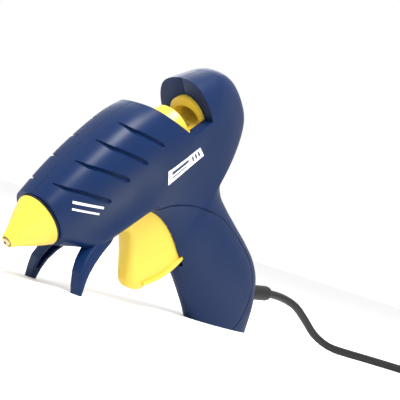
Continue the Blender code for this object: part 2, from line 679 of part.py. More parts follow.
def jaw_pin(mat):
    return new_object("jaw_pin", rod(0.1172, -0.0112, 0.0010, -0.0085, 0.0085, 12), mat)


def lever_direction(angle):
    """Unit vector in (u, v) at an angle from straight up, positive towards the nose."""
    return -math.sin(angle), math.cos(angle)


def feed_lever(mat):
    """Two-armed lever between the trigger and the feeder; its origin is on its pin."""
    rest = -LEVER_STROKE / 2
    up = lever_direction(rest)
    pu, pv = LEVER_PIVOT
    top = (pu + up[0] * LEVER_UP, pv + up[1] * LEVER_UP)
    low = (pu - up[0] * LEVER_DOWN, pv - up[1] * LEVER_DOWN)
    side = (up[1], -up[0])

    def arm(tip, r_tip, r_root):
        return [(pu + side[0] * r_root, pv + side[1] * r_root),
                (tip[0] + side[0] * r_tip, tip[1] + side[1] * r_tip),
                (tip[0] - side[0] * r_tip, tip[1] - side[1] * r_tip),
                (pu - side[0] * r_root, pv - side[1] * r_root)]

    pivot = at(pu, pv)
    obj = new_object("feed_lever", rod(pu, pv, 0.0052, -LEVER_HALF - 0.0008, LEVER_HALF + 0.0008, 24),
                     mat, pivot)
    add(obj, prism(arm(top, 0.0014, 0.0036), -LEVER_HALF, LEVER_HALF))
    add(obj, rod(*top, 0.0029, -LEVER_HALF + 0.0001, LEVER_HALF - 0.0001, 18))
    add(obj, prism(arm(low, 0.0020, 0.0038), -LEVER_HALF, LEVER_HALF))
    add(obj, rod(*low, 0.0025, -LEVER_HALF + 0.0001, LEVER_HALF - 0.0001, 18))
    cut(obj, rod(pu, pv, PIN_R + GAP, -0.010, 0.010, 20))
    set_material(obj, mat)
    return obj


def pivot_pin(name, pivot, half, mat):
    return new_object(name, rod(*pivot, PIN_R, -half, half, 20), mat)


def trigger(mat):
    """Rounded two-finger trigger with a lip that sweeps into the handle; origin on its pin."""
    pu, pv = TRIGGER_PIVOT
    pivot = at(pu, pv)
    pad = (math.sin(PAD_ANGLE), -math.cos(PAD_ANGLE))
    side = (math.cos(PAD_ANGLE), math.sin(PAD_ANGLE))
    start = math.atan2(-0.0530, -0.0205)
    end = -math.pi / 2 + PAD_ANGLE
    lip_in = circle(pu, pv, LIP_R - 0.0002, 12, start, end - start)
    front = [(0.0880, -0.0182), (0.0745, -0.0330), (0.0748, -0.0390), (0.0722, -0.0480), (0.0680, -0.0580),
             (0.0652, -0.0655), (0.0655, -0.0705), (0.0685, -0.0742)]
    outline = front + lip_in + [(pu + pad[0] * 0.010, pv + pad[1] * 0.010),
                                (pu + 0.0046, pv + 0.0010), (pu + 0.0030, pv + 0.0038)]
    bm = prism(outline, -TRIGGER_HALF, TRIGGER_HALF)
    obj = new_object("trigger", bm, mat, pivot)
    # round the front: take away two long corners in three flats each
    for sign in (-1, 1):
        for depth, width in ((0.0014, 0.0052), (0.0032, 0.0028), (0.0060, 0.0010)):
            corner = []
            for u, v in ((0.0745, -0.0250), (0.0748, -0.0390), (0.0722, -0.0480), (0.0680, -0.0580),
                         (0.0650, -0.0650), (0.0640, -0.0900)):
                back = depth
                a = at(u + back - 0.02, v - 0.0, sign * (TRIGGER_HALF + 0.004))
                b = at(u + back + 0.0, v, sign * (TRIGGER_HALF + 0.0001 - 0.0))
                c = at(u - 0.004, v, sign * (TRIGGER_HALF - width - 0.004 * width / (depth + 1e-9)))
                corner.append([a, b, c] if sign > 0 else [a, c, b])
            cut(obj, rings_to_bm(corner))
    lip = circle(pu, pv, LIP_R, 16, start - 0.02, end - start - 0.02)
    lip += circle(pu, pv, LIP_R - LIP_THICK, 16, start - 0.02, end - start - 0.02)[::-1]
    add(obj, prism(lip, -LIP_HALF, LIP_HALF))
    # hollow back, so that the moulding is a shell with a web that the lever meets
    for sign in (-1, 1):
        y0, y1 = sorted((sign * 0.0016, sign * (TRIGGER_HALF - 0.0016)))
        pocket = [(0.0905, -0.0330), (0.0840, -0.0400), (0.0800, -0.0560), (0.0800, -0.0690)]
        pocket += circle(pu, pv, 0.0495, 6, math.atan2(-0.0470, -0.0110), 0.50)
        pocket += [(pu + pad[0] * 0.060, pv + pad[1] * 0.060 + 0.012),
                   (pu + pad[0] * 0.040 + 0.01, pv + pad[1] * 0.040),
                   (pu + pad[0] * 0.018 + 0.01, pv + pad[1] * 0.018)]
        cut(obj, prism(pocket, y0, y1))
    cut(obj, rod(pu, pv, PIN_R + GAP, -0.020, 0.020, 20))
    set_material(obj, mat)
    return obj


def return_spring(mat):
    """Tension spring under the feeder that draws it and the trigger back."""
    u0, u1, v = 0.1296, 0.1541, -0.0178
    turns, r, wire = 10, 0.0020, 0.00030
    points = []
    per = 10
    total = turns * per
    for k in range(total + 1):
        a = 2 * math.pi * k / per
        points.append((u0 + 0.0012 + (u1 - u0 - 0.0024) * k / total, v + r * math.cos(a), r * math.sin(a)))
    points = [(u0, v + r, 0.0)] + points + [(u1, v + r, 0.0)]
    return new_object("return_spring", tube([at(u, w, y) for u, w, y in points], wire, 5), mat)


def tube(points, radius, sides=8):
    """A round tube with filled ends along points, with a frame carried from each point to the next."""
    points = [Vector(p) for p in points]
    rings = []
    tangent = (points[1] - points[0]).normalized()
    normal = tangent.orthogonal().normalized()
    for i, p in enumerate(points):
        a = points[max(i - 1, 0)]
        b = points[min(i + 1, len(points) - 1)]
        new = (b - a).normalized()
        normal = (normal - new * normal.dot(new)).normalized()
        other = new.cross(normal)
        rings.append([p + radius * (math.cos(2 * math.pi * k / sides) * normal
                                    + math.sin(2 * math.pi * k / sides) * other) for k in range(sides)])
    return rings_to_bm(rings)


# ---- screws, cord -----------------------------------------------------------------------------
def screw(name, u, v, mat):
    head = rod(u, v, SCREW_HEAD_R, 0.0065 + GAP, 0.0065 + GAP + SCREW_HEAD_H, 16)
    obj = new_object(name, head, mat)
    add(obj, rod(u, v, SCREW_R, -0.0095, 0.0065 + GAP + 0.0004, 14))
    top = 0.0065 + GAP + SCREW_HEAD_H
    for a in (0.0, math.pi / 2):
        c, s = math.cos(a), math.sin(a)
        cross = [(0.0017, 0.00028), (-0.0017, 0.00028), (-0.0017, -0.00028), (0.0017, -0.00028)]
        ring = [(u + x * c - w * s, v + x * s + w * c) for x, w in cross]
        cut(obj, prism(ring, top - 0.0009, top + 0.001))
    set_material(obj, mat)
    return obj


SLEEVE_X, SLEEVE_Z = 0.2042 - CENTRE_X, 0.0243
SLEEVE_RISE = math.radians(6)


def sleeve_point(along, r=0.0, a=0.0):
    x = SLEEVE_X + along * math.cos(SLEEVE_RISE) - r * math.cos(a) * math.sin(SLEEVE_RISE)
    z = SLEEVE_Z + along * math.sin(SLEEVE_RISE) + r * math.cos(a) * math.cos(SLEEVE_RISE)
    return Vector((x, r * math.sin(a), z))


def sleeve_lathe(profile, steps=20):
    bm = bmesh.new()
    rows = [[bm.verts.new(sleeve_point(s, r, 2 * math.pi * k / steps)) for s, r in profile]
            for k in range(steps)]
    for k in range(steps):
        a, b = rows[k], rows[(k + 1) % steps]
        for i in range(len(profile)):
            j = (i + 1) % len(profile)
            if profile[i][1] < 1e-9 and profile[j][1] < 1e-9:
                continue
            bm.faces.new((a[i], a[j], b[j], b[i]))
    bmesh.ops.remove_doubles(bm, verts=bm.verts, dist=1e-8)
    return bm


def sleeve_solid(play):
    """Seat for the strain relief: its groove in the wall, and the hole behind it."""
    r = RELIEF_R + play
    return sleeve_lathe([(-0.022, 0.0), (0.06, 0.0), (0.06, r), (-0.0060, r), (-0.0060, r + 0.0016),
                         (-0.0090, r + 0.0016), (-0.0090, r), (-0.022, r)])


def strain_relief(mat):
    """Moulded sleeve with a collar that the shells grip and a rounded outer end."""
    bore = CORD_R + GAP
    end = RELIEF_LENGTH
    profile = [(-0.0110, bore), (-0.0110, RELIEF_R), (-0.0088, RELIEF_R), (-0.0088, RELIEF_R + 0.0013),
               (-0.0062, RELIEF_R + 0.0013), (-0.0062, RELIEF_R), (end - 0.0036, RELIEF_R),
               (end - 0.0018, RELIEF_R - 0.0004), (end - 0.0006, RELIEF_R - 0.0011),
               (end, RELIEF_R - 0.0016), (end, bore)]
    return new_object("strain_relief", sleeve_lathe(profile), mat)


def cord_clamp(mat):
    """Ring crimped round the cord inside the handle, which the shells' walls keep from turning."""
    bm = sleeve_lathe([(-0.0190, CORD_R + GAP), (-0.0190, CORD_R + 0.0020), (-0.0140, CORD_R + 0.0020),
                       (-0.0140, CORD_R + GAP)], 20)
    return new_object("cord_clamp", bm, mat)


def smooth_route(points, spacing):
    """Even points on a smooth curve through hand-chosen ones."""
    dense = catmull(np.array(points), 24)
    lengths = np.concatenate([[0], np.cumsum(np.linalg.norm(np.diff(dense, axis=0), axis=1))])
    count = max(int(round(lengths[-1] / spacing)), 2)
    even = np.linspace(0, lengths[-1], count + 1)
    return np.stack([np.interp(even, lengths, dense[:, k]) for k in range(3)], 1)


def cord_points():
    start = [tuple(sleeve_point(s)) for s in (-0.024, -0.010, 0.010, RELIEF_LENGTH)]
    return smooth_route(start + CORD_ROUTE, 0.0105)


def cord_tube(mat):
    curve = bpy.data.curves.new("cord_tube", "CURVE")
    curve.dimensions = "3D"
    spline = curve.splines.new("POLY")
    points = cord_points()
    spline.points.add(len(points) - 1)
    for target, p in zip(spline.points, points):
        target.co = (*p, 1.0)
    curve.bevel_depth = CORD_R
    curve.bevel_resolution = 2
    curve.use_fill_caps = True
    obj = bpy.data.objects.new("cord_tube", curve)
    bpy.context.scene.collection.objects.link(obj)
    curve.materials.append(mat)
    return obj


def cord_coil(mat):
    """The rest of the cord, put away: the outer shape of a neat round coil on the table."""
    bm = bmesh.new()
    steps = 40
    w, h = COIL_BUNDLE_W / 2, COIL_BUNDLE_H
    outline = [(-w, 0.003), (-w * 0.7, 0.0003), (w * 0.7, 0.0003), (w, 0.003), (w, h - 0.003),
               (w * 0.6, h), (-w * 0.6, h), (-w, h - 0.003)]
    rows = []
    for k in range(steps):
        a = 2 * math.pi * k / steps
        rows.append([bm.verts.new((COIL_CENTRE[0] + (COIL_R + r) * math.cos(a),
                                   COIL_CENTRE[1] + (COIL_R + r) * math.sin(a), z)) for r, z in outline])
    for k in range(steps):
        a, b = rows[k], rows[(k + 1) % steps]
        for i in range(len(outline)):
            j = (i + 1) % len(outline)
            bm.faces.new((a[i], a[j], b[j], b[i]))
    return new_object("cord_coil", bm, mat)


def plug(mat, pin_mat):
    """Flat two-pin plug lying on the coil, square to the coil's radius at its cord end."""
    along = Vector((-math.sin(PLUG_END_TURN), math.cos(PLUG_END_TURN), 0.0))
    across = Vector((-along.y, along.x, 0.0))
    start = Vector((COIL_CENTRE[0] + PLUG_END_R * math.cos(PLUG_END_TURN),
                    COIL_CENTRE[1] + PLUG_END_R * math.sin(PLUG_END_TURN),
                    COIL_BUNDLE_H + GAP + PLUG_HALF_H))
    length = PLUG_LENGTH
    outline = [(0.0, 0.0030), (0.16 * length, 0.0056), (0.67 * length, 0.0125), (length, 0.0125),
               (length, -0.0125), (0.67 * length, -0.0125), (0.16 * length, -0.0056), (0.0, -0.0030)]
    rings = []
    for dz, inset in ((-1.0, 0.0012), (-0.67, 0.0), (0.67, 0.0), (1.0, 0.0012)):
        ring = []
        for x, y in outline:
            x = min(max(x, inset), length - inset)
            y = math.copysign(abs(y) - inset, y)
            ring.append(start + along * x + across * y + Vector((0, 0, dz * PLUG_HALF_H)))
        rings.append(ring)
    body = new_object("plug_body", rings_to_bm(rings), mat)
    pins = []
    for name, y in (("plug_pin_a", -0.0093), ("plug_pin_b", 0.0093)):
        steps = 14
        rings = []
        for x, r in ((0.0003, 0.0020), (0.0178, 0.0020), (0.0190, 0.0010)):
            rings.append([start + along * (length + x) + across * (y + r * math.cos(2 * math.pi * k / steps))
                          + Vector((0, 0, r * math.sin(2 * math.pi * k / steps))) for k in range(steps)])
        pins.append(new_object(name, rings_to_bm(rings), pin_mat))
    return [body] + pins


def wire(name, sign, mat):
    """One insulated conductor from the cord's end to the heater, laid along the side wall."""
    route = [(0.1338, -0.1172, 0.0016), (0.1310, -0.1120, 0.0040), (0.1320, -0.1020, 0.0080),
             (0.1340, -0.0900, 0.0096), (0.1335, -0.0750, 0.0092), (0.1320, -0.0600, 0.0092),
             (0.1290, -0.0450, 0.0094), (0.1210, -0.0300, 0.0096), (0.1090, -0.0260, 0.0094),
             (0.1020, -0.0262, 0.0092), (0.0930, -0.0270, 0.0088), (0.0830, -0.0238, 0.0092),
             (0.0740, -0.0205, 0.0098), (0.0640, -0.0160, 0.0080), (0.0620, -0.0125, 0.0038)]
    points = smooth_route([tuple(at(u, v, sign * y)) for u, v, y in route], 0.0045)
    return new_object(name, tube(points, WIRE_R, 8), mat)


def main():
    clear_scene()
    blue = material("shell_blue", (0.035, 0.065, 0.165), 0.38)
    yellow = material("feed_yellow", (0.90, 0.62, 0.03), 0.40)
    nose = material("nose_yellow", (0.93, 0.72, 0.05), 0.45)
    steel = material("steel", (0.60, 0.60, 0.62), 0.30, 1.0)
    aluminium = material("aluminium", (0.72, 0.72, 0.73), 0.40, 1.0)
    rubber = material("black_rubber", (0.02, 0.02, 0.022), 0.60)
    cord_mat = material("cord_black", (0.03, 0.03, 0.032), 0.55)
    silicone = material("silicone_red", (0.45, 0.08, 0.05), 0.55)
    black = material("lever_black", (0.03, 0.03, 0.035), 0.45)
    ceramic = material("heater_cream", (0.80, 0.76, 0.66), 0.60)
    brass = material("tip_metal", (0.62, 0.60, 0.56), 0.32, 1.0)
    pin = material("plug_pin", (0.75, 0.74, 0.72), 0.25, 1.0)
    wire_mat = material("wire_sleeve", (0.70, 0.66, 0.56), 0.60)

    shell("left_shell", -1, blue)
    shell("right_shell", 1, blue)
    nose_cone(nose)
    seal_ring(rubber)
    nozzle_tip(brass)
    melt_chamber(aluminium)
    heater_block(ceramic)
    heater_clip(steel)
    inlet_sleeve(silicone)
    sleeve_clamp(steel)
    feeder(yellow)
    grip_jaw(steel)
    jaw_pin(steel)
    feed_lever(black)
    pivot_pin("lever_pin", LEVER_PIVOT, 0.0102, steel)
    trigger(yellow)
    pivot_pin("trigger_pin", TRIGGER_PIVOT, 0.0122, steel)
    return_spring(steel)
    for index, (u, v) in enumerate(SCREWS):
        screw("screw_%d" % (index + 1), u, v, steel)
    strain_relief(rubber)
    cord_clamp(black)
    wire("wire_left", -1, wire_mat)
    wire("wire_right", 1, wire_mat)
    cord_tube(cord_mat)
    cord_coil(cord_mat)
    plug(rubber, pin)


main()
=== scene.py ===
"""Looks of a corded hobby glue gun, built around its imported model.

The gun stands on its two front legs and the foot of its handle. Sizes are in metres, apart from the
lists STATIONS, LEG and PANEL_BACK, which are in millimetres. Most places are given in the barrel's own
frame: u runs back from the nozzle tip along the barrel, v stands up from it and y goes across, with the
gun's left side on the negative side.
"""

import math

import bmesh
import bpy
import numpy as np
from mathutils import Matrix, Vector


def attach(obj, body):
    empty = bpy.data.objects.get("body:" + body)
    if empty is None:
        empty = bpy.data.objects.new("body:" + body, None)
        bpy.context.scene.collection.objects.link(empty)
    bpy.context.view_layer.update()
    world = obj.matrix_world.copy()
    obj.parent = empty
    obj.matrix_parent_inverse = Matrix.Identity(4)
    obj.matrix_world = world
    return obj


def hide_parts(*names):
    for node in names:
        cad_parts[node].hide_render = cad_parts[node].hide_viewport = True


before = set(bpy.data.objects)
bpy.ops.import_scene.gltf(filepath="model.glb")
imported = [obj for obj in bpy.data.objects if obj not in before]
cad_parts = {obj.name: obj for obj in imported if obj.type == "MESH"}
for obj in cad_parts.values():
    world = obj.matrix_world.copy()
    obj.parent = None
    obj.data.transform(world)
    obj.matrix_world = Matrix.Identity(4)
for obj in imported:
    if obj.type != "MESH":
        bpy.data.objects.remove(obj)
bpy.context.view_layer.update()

# ---- camera, floor and light --------------------------------------------------------------------
# A long lens low over the table, tilted to one side, in a pale room with one large soft lamp above
# the gun's left side and a weaker one behind.
CAMERA_AT = (-0.57503, -0.50850, 0.05130)
LOOK_AZIMUTH = math.radians(-49.6)
LOOK_UP = math.radians(1.3)
CAMERA_ROLL = math.radians(17.7)

data = bpy.data.cameras.new("camera")
data.lens = 120.0
data.sensor_width = 36.0
camera = bpy.data.objects.new("camera", data)
bpy.context.scene.collection.objects.link(camera)
forward = Vector((-math.sin(LOOK_AZIMUTH) * math.cos(LOOK_UP), math.cos(LOOK_AZIMUTH) * math.cos(LOOK_UP),
                  math.sin(LOOK_UP)))
right = Vector((math.cos(LOOK_AZIMUTH), math.sin(LOOK_AZIMUTH), 0.0))
above = right.cross(forward)
turned = right * math.cos(CAMERA_ROLL) + above * math.sin(CAMERA_ROLL)
upright = above * math.cos(CAMERA_ROLL) - right * math.sin(CAMERA_ROLL)
turn = Matrix((turned, upright, -forward)).transposed().to_4x4()
camera.matrix_world = Matrix.Translation(CAMERA_AT) @ turn
bpy.context.scene.camera = camera

FLOOR_HALF = 4.0
floor_mesh = bpy.data.meshes.new("floor")
floor_mesh.from_pydata([(-FLOOR_HALF, -FLOOR_HALF, 0), (FLOOR_HALF, -FLOOR_HALF, 0),
                        (FLOOR_HALF, FLOOR_HALF, 0), (-FLOOR_HALF, FLOOR_HALF, 0)], [], [(0, 1, 2, 3)])
floor = bpy.data.objects.new("floor", floor_mesh)
bpy.context.scene.collection.objects.link(floor)
pale = bpy.data.materials.new("pale_floor")
pale.use_nodes = True
pale.node_tree.nodes["Principled BSDF"].inputs["Base Color"].default_value = (0.93, 0.93, 0.93, 1)
pale.node_tree.nodes["Principled BSDF"].inputs["Roughness"].default_value = 0.8
pale.node_tree.nodes["Principled BSDF"].inputs["Specular IOR Level"].default_value = 0.1
floor_mesh.materials.append(pale)

world = bpy.data.worlds.new("pale_room")
world.use_nodes = True
world.node_tree.nodes["Background"].inputs["Color"].default_value = (1.0, 1.0, 1.0, 1)
world.node_tree.nodes["Background"].inputs["Strength"].default_value = 1.0
bpy.context.scene.world = world
bpy.context.scene.view_settings.view_transform = "Standard"


def soft_lamp(name, place, aim, size, power):
    """A square area lamp at place that faces aim."""
    lamp = bpy.data.lights.new(name, "AREA")
    lamp.shape = "SQUARE"
    lamp.size = size
    lamp.energy = power
    obj = bpy.data.objects.new(name, lamp)
    obj.matrix_world = (Matrix.Translation(place)
                        @ (Vector(place) - Vector(aim)).to_track_quat("Z", "Y").to_matrix().to_4x4())
    bpy.context.scene.collection.objects.link(obj)


soft_lamp("lamp_above_left", (-0.30, -0.30, 0.85), (0.0, 0.0, 0.07), 0.45, 17.0)
soft_lamp("lamp_behind", (0.45, 0.55, 0.55), (0.0, 0.0, 0.07), 0.5, 3.0)

# ---- cord ---------------------------------------------------------------------------------------
# A round black two-core lead. It leaves the handle through a moulded sleeve, drops to the table and
# runs off to the right, where its spare length is wound into a flat coil of three layers.
CORD_R = 0.0026
CENTRE_X = 0.11353
SLEEVE_X, SLEEVE_Z = 0.2042 - CENTRE_X, 0.0243
SLEEVE_RISE = math.radians(6)
SLEEVE_R = 0.0048
SLEEVE_LENGTH = 0.0240
CORD_ROUTE = [
    (0.130, 0.000, 0.0266), (0.146, -0.001, 0.0236), (0.160, -0.002, 0.0166), (0.173, -0.004, 0.0086),
    (0.187, -0.008, 0.0037), (0.2005, -0.0135, 0.0028), (0.2150, -0.0210, 0.0028),
    (0.2293, -0.0304, 0.0028), (0.2451, -0.0428, 0.0028), (0.2598, -0.0543, 0.0028),
]
COIL_CENTRE = (0.2968, -0.0416)
COIL_R = 0.0270
COIL_START = math.radians(232)
COIL_LAYERS = 3
LAYER_TURNS = 2 + 2 / 9
TURN = 0.0052
PLUG_RISE = 0.0092


def sleeve_point(along):
    """A point on the sleeve's axis, which rises a little as it leaves the handle."""
    return (SLEEVE_X + along * math.cos(SLEEVE_RISE), 0.0, SLEEVE_Z + along * math.sin(SLEEVE_RISE))


def smooth_line(points, steps):
    """Catmull-Rom curve through the rows of points, steps places for each span."""
    points = np.asarray(points, float)
    padded = np.vstack([points[:1], points, points[-1:]])
    t = (np.arange(steps) / steps)[:, None]
    spans = []
    for a, b, c, d in zip(padded, padded[1:], padded[2:], padded[3:]):
        spans.append(0.5 * (2 * b + (c - a) * t + (2 * a - 5 * b + 4 * c - d) * t ** 2
                            + (3 * b - a - 3 * c + d) * t ** 3))
    return np.vstack(spans + [points[-1:]])


def coil_line():
    """Three flat spirals on top of each other: in, out and in again, with a step up between them.

    The angle rises steadily. The radius is the coil's middle plus a triangle wave of the turns made,
    one cord wide for each turn; the height steps up by one cord where the wave turns round, and the
    last quarter of a turn climbs to the plug, which lies on top.
    """
    made = np.arange(0.0, COIL_LAYERS * LAYER_TURNS + 1e-9, 1 / 27)
    layer = made / LAYER_TURNS
    wave = np.abs(np.mod(layer, 2) - 1)
    radius = COIL_R + TURN * LAYER_TURNS * (wave - 0.5)
    height = np.full_like(made, CORD_R + 0.0003)
    for edge in range(1, COIL_LAYERS):
        step = np.clip((made - edge * LAYER_TURNS + 0.12) / 0.24, 0, 1)
        height += TURN * step * step * (3 - 2 * step)
    climb = np.clip((made - COIL_LAYERS * LAYER_TURNS + 0.25) / 0.25, 0, 1)
    height += PLUG_RISE * climb * climb * (3 - 2 * climb)
    turn = COIL_START + 2 * math.pi * made
    return np.stack([COIL_CENTRE[0] + radius * np.cos(turn), COIL_CENTRE[1] + radius * np.sin(turn),
                     height], -1)


centre_line = np.vstack([smooth_line([sleeve_point(SLEEVE_LENGTH)] + CORD_ROUTE, 3), coil_line()])
inside_sleeve = np.array([sleeve_point(x) for x in (-0.020, 0.0, SLEEVE_LENGTH - 0.008)])
curve = bpy.data.curves.new("cord", "CURVE")
curve.dimensions = "3D"
spline = curve.splines.new("POLY")
centre_line = np.vstack([inside_sleeve, centre_line])
spline.points.add(len(centre_line) - 1)
spline.points.foreach_set("co", np.hstack([centre_line, np.ones((len(centre_line), 1))]).ravel())
curve.bevel_depth = CORD_R
curve.bevel_resolution = 4
curve.use_fill_caps = True
cord = bpy.data.objects.new("cord", curve)
bpy.context.scene.collection.objects.link(cord)


def grain_group():
    """Moulded surface: a fine even grain as a normal, and a slow drift of the roughness.

    Grain is noise of the given Size; the drift is a much wider noise between Smooth and Rough.
    """
    group = bpy.data.node_groups.new("moulded_grain", "ShaderNodeTree")
    for name, kind, value in (("Size", "NodeSocketFloat", 1500.0), ("Depth", "NodeSocketFloat", 0.1),
                              ("Smooth", "NodeSocketFloat", 0.3), ("Rough", "NodeSocketFloat", 0.4)):
        group.interface.new_socket(name, in_out="INPUT", socket_type=kind).default_value = value
    group.interface.new_socket("Edge", in_out="INPUT", socket_type="NodeSocketVector")
    group.interface.new_socket("Roughness", in_out="OUTPUT", socket_type="NodeSocketFloat")
    group.interface.new_socket("Normal", in_out="OUTPUT", socket_type="NodeSocketVector")
    nodes, links = group.nodes, group.links
    start, end = nodes.new("NodeGroupInput"), nodes.new("NodeGroupOutput")
    place = nodes.new("ShaderNodeTexCoord")
    grain, drift = nodes.new("ShaderNodeTexNoise"), nodes.new("ShaderNodeTexNoise")
    grain.inputs["Detail"].default_value = 2.0
    drift.inputs["Scale"].default_value = 45.0
    drift.inputs["Detail"].default_value = 3.0
    links.new(place.outputs["Object"], grain.inputs["Vector"])
    links.new(place.outputs["Object"], drift.inputs["Vector"])
    links.new(start.outputs["Size"], grain.inputs["Scale"])
    spread = nodes.new("ShaderNodeMapRange")
    spread.inputs["From Min"].default_value = 0.35
    spread.inputs["From Max"].default_value = 0.65
    links.new(drift.outputs["Fac"], spread.inputs["Value"])
    links.new(start.outputs["Smooth"], spread.inputs["To Min"])
    links.new(start.outputs["Rough"], spread.inputs["To Max"])
    links.new(spread.outputs["Result"], end.inputs["Roughness"])
    bump = nodes.new("ShaderNodeBump")
    bump.inputs["Distance"].default_value = 0.0001
    links.new(start.outputs["Depth"], bump.inputs["Strength"])
    links.new(grain.outputs["Fac"], bump.inputs["Height"])
    links.new(start.outputs["Edge"], bump.inputs["Normal"])
    links.new(bump.outputs["Normal"], end.inputs["Normal"])
    return group


moulded_grain = grain_group()


def moulded(name, colour, smooth, rough, size=1500.0, depth=0.1, edge=0.0, metal=0.0, shine=0.4):
    """A moulded or turned material: its colour drifts a little darker, under moulded_grain."""
    mat = bpy.data.materials.new(name)
    mat.use_nodes = True
    nodes, links = mat.node_tree.nodes, mat.node_tree.links
    shader = nodes["Principled BSDF"]
    shader.inputs["Metallic"].default_value = metal
    shader.inputs["Specular IOR Level"].default_value = shine
    grain = nodes.new("ShaderNodeGroup")
    grain.node_tree = moulded_grain
    grain.inputs["Size"].default_value = size
    grain.inputs["Depth"].default_value = depth
    grain.inputs["Smooth"].default_value = smooth
    grain.inputs["Rough"].default_value = rough
    links.new(grain.outputs["Roughness"], shader.inputs["Roughness"])
    links.new(grain.outputs["Normal"], shader.inputs["Normal"])
    worn = nodes.new("ShaderNodeBevel") if edge else nodes.new("ShaderNodeNewGeometry")
    if edge:
        worn.samples = 6
        worn.inputs["Radius"].default_value = edge
    links.new(worn.outputs["Normal"], grain.inputs["Edge"])
    place, drift, tint = (nodes.new("ShaderNodeTexCoord"), nodes.new("ShaderNodeTexNoise"),
                          nodes.new("ShaderNodeMix"))
    drift.inputs["Scale"].default_value = 22.0
    drift.inputs["Detail"].default_value = 4.0
    tint.data_type = "RGBA"
    tint.inputs["A"].default_value = (*colour, 1)
    tint.inputs["B"].default_value = (*(0.85 * c for c in colour), 1)
    links.new(place.outputs["Object"], drift.inputs["Vector"])
    links.new(drift.outputs["Fac"], tint.inputs["Factor"])
    links.new(tint.outputs["Result"], shader.inputs["Base Color"])
    return mat


def finish_piece(obj, mat, body, slot, *nodes):
    """Gives a piece its material and body, and hides the solids that it stands for; the slot argument is not
    used.
    """
    obj.data.materials.clear()
    obj.data.materials.append(mat)
    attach(obj, body)
    if nodes:
        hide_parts(*nodes)


cord_black = moulded("cord_black", (0.010, 0.0095, 0.010), 0.42, 0.52, 900.0, 0.25, shine=0.25)
finish_piece(cord, cord_black, "housing", "cord", "cord_tube", "cord_coil")
for name, mat in (("plug_body", moulded("plug_black", (0.025, 0.025, 0.027), 0.45, 0.55, 900.0, 0.3, 0.0006)),
                  ("strain_relief", moulded("sleeve_black", (0.012, 0.011, 0.0115), 0.50, 0.60, 900.0, 0.3,
                                            0.0004, shine=0.25))):
    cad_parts[name].data.materials.clear()
    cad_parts[name].data.materials.append(mat)
pin_metal = moulded("pin_nickel", (0.74, 0.72, 0.69), 0.18, 0.28, 2500.0, 0.05, 0.0003, 1.0)
for name in ("plug_pin_a", "plug_pin_b"):
    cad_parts[name].data.materials.clear()
    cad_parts[name].data.materials.append(pin_metal)

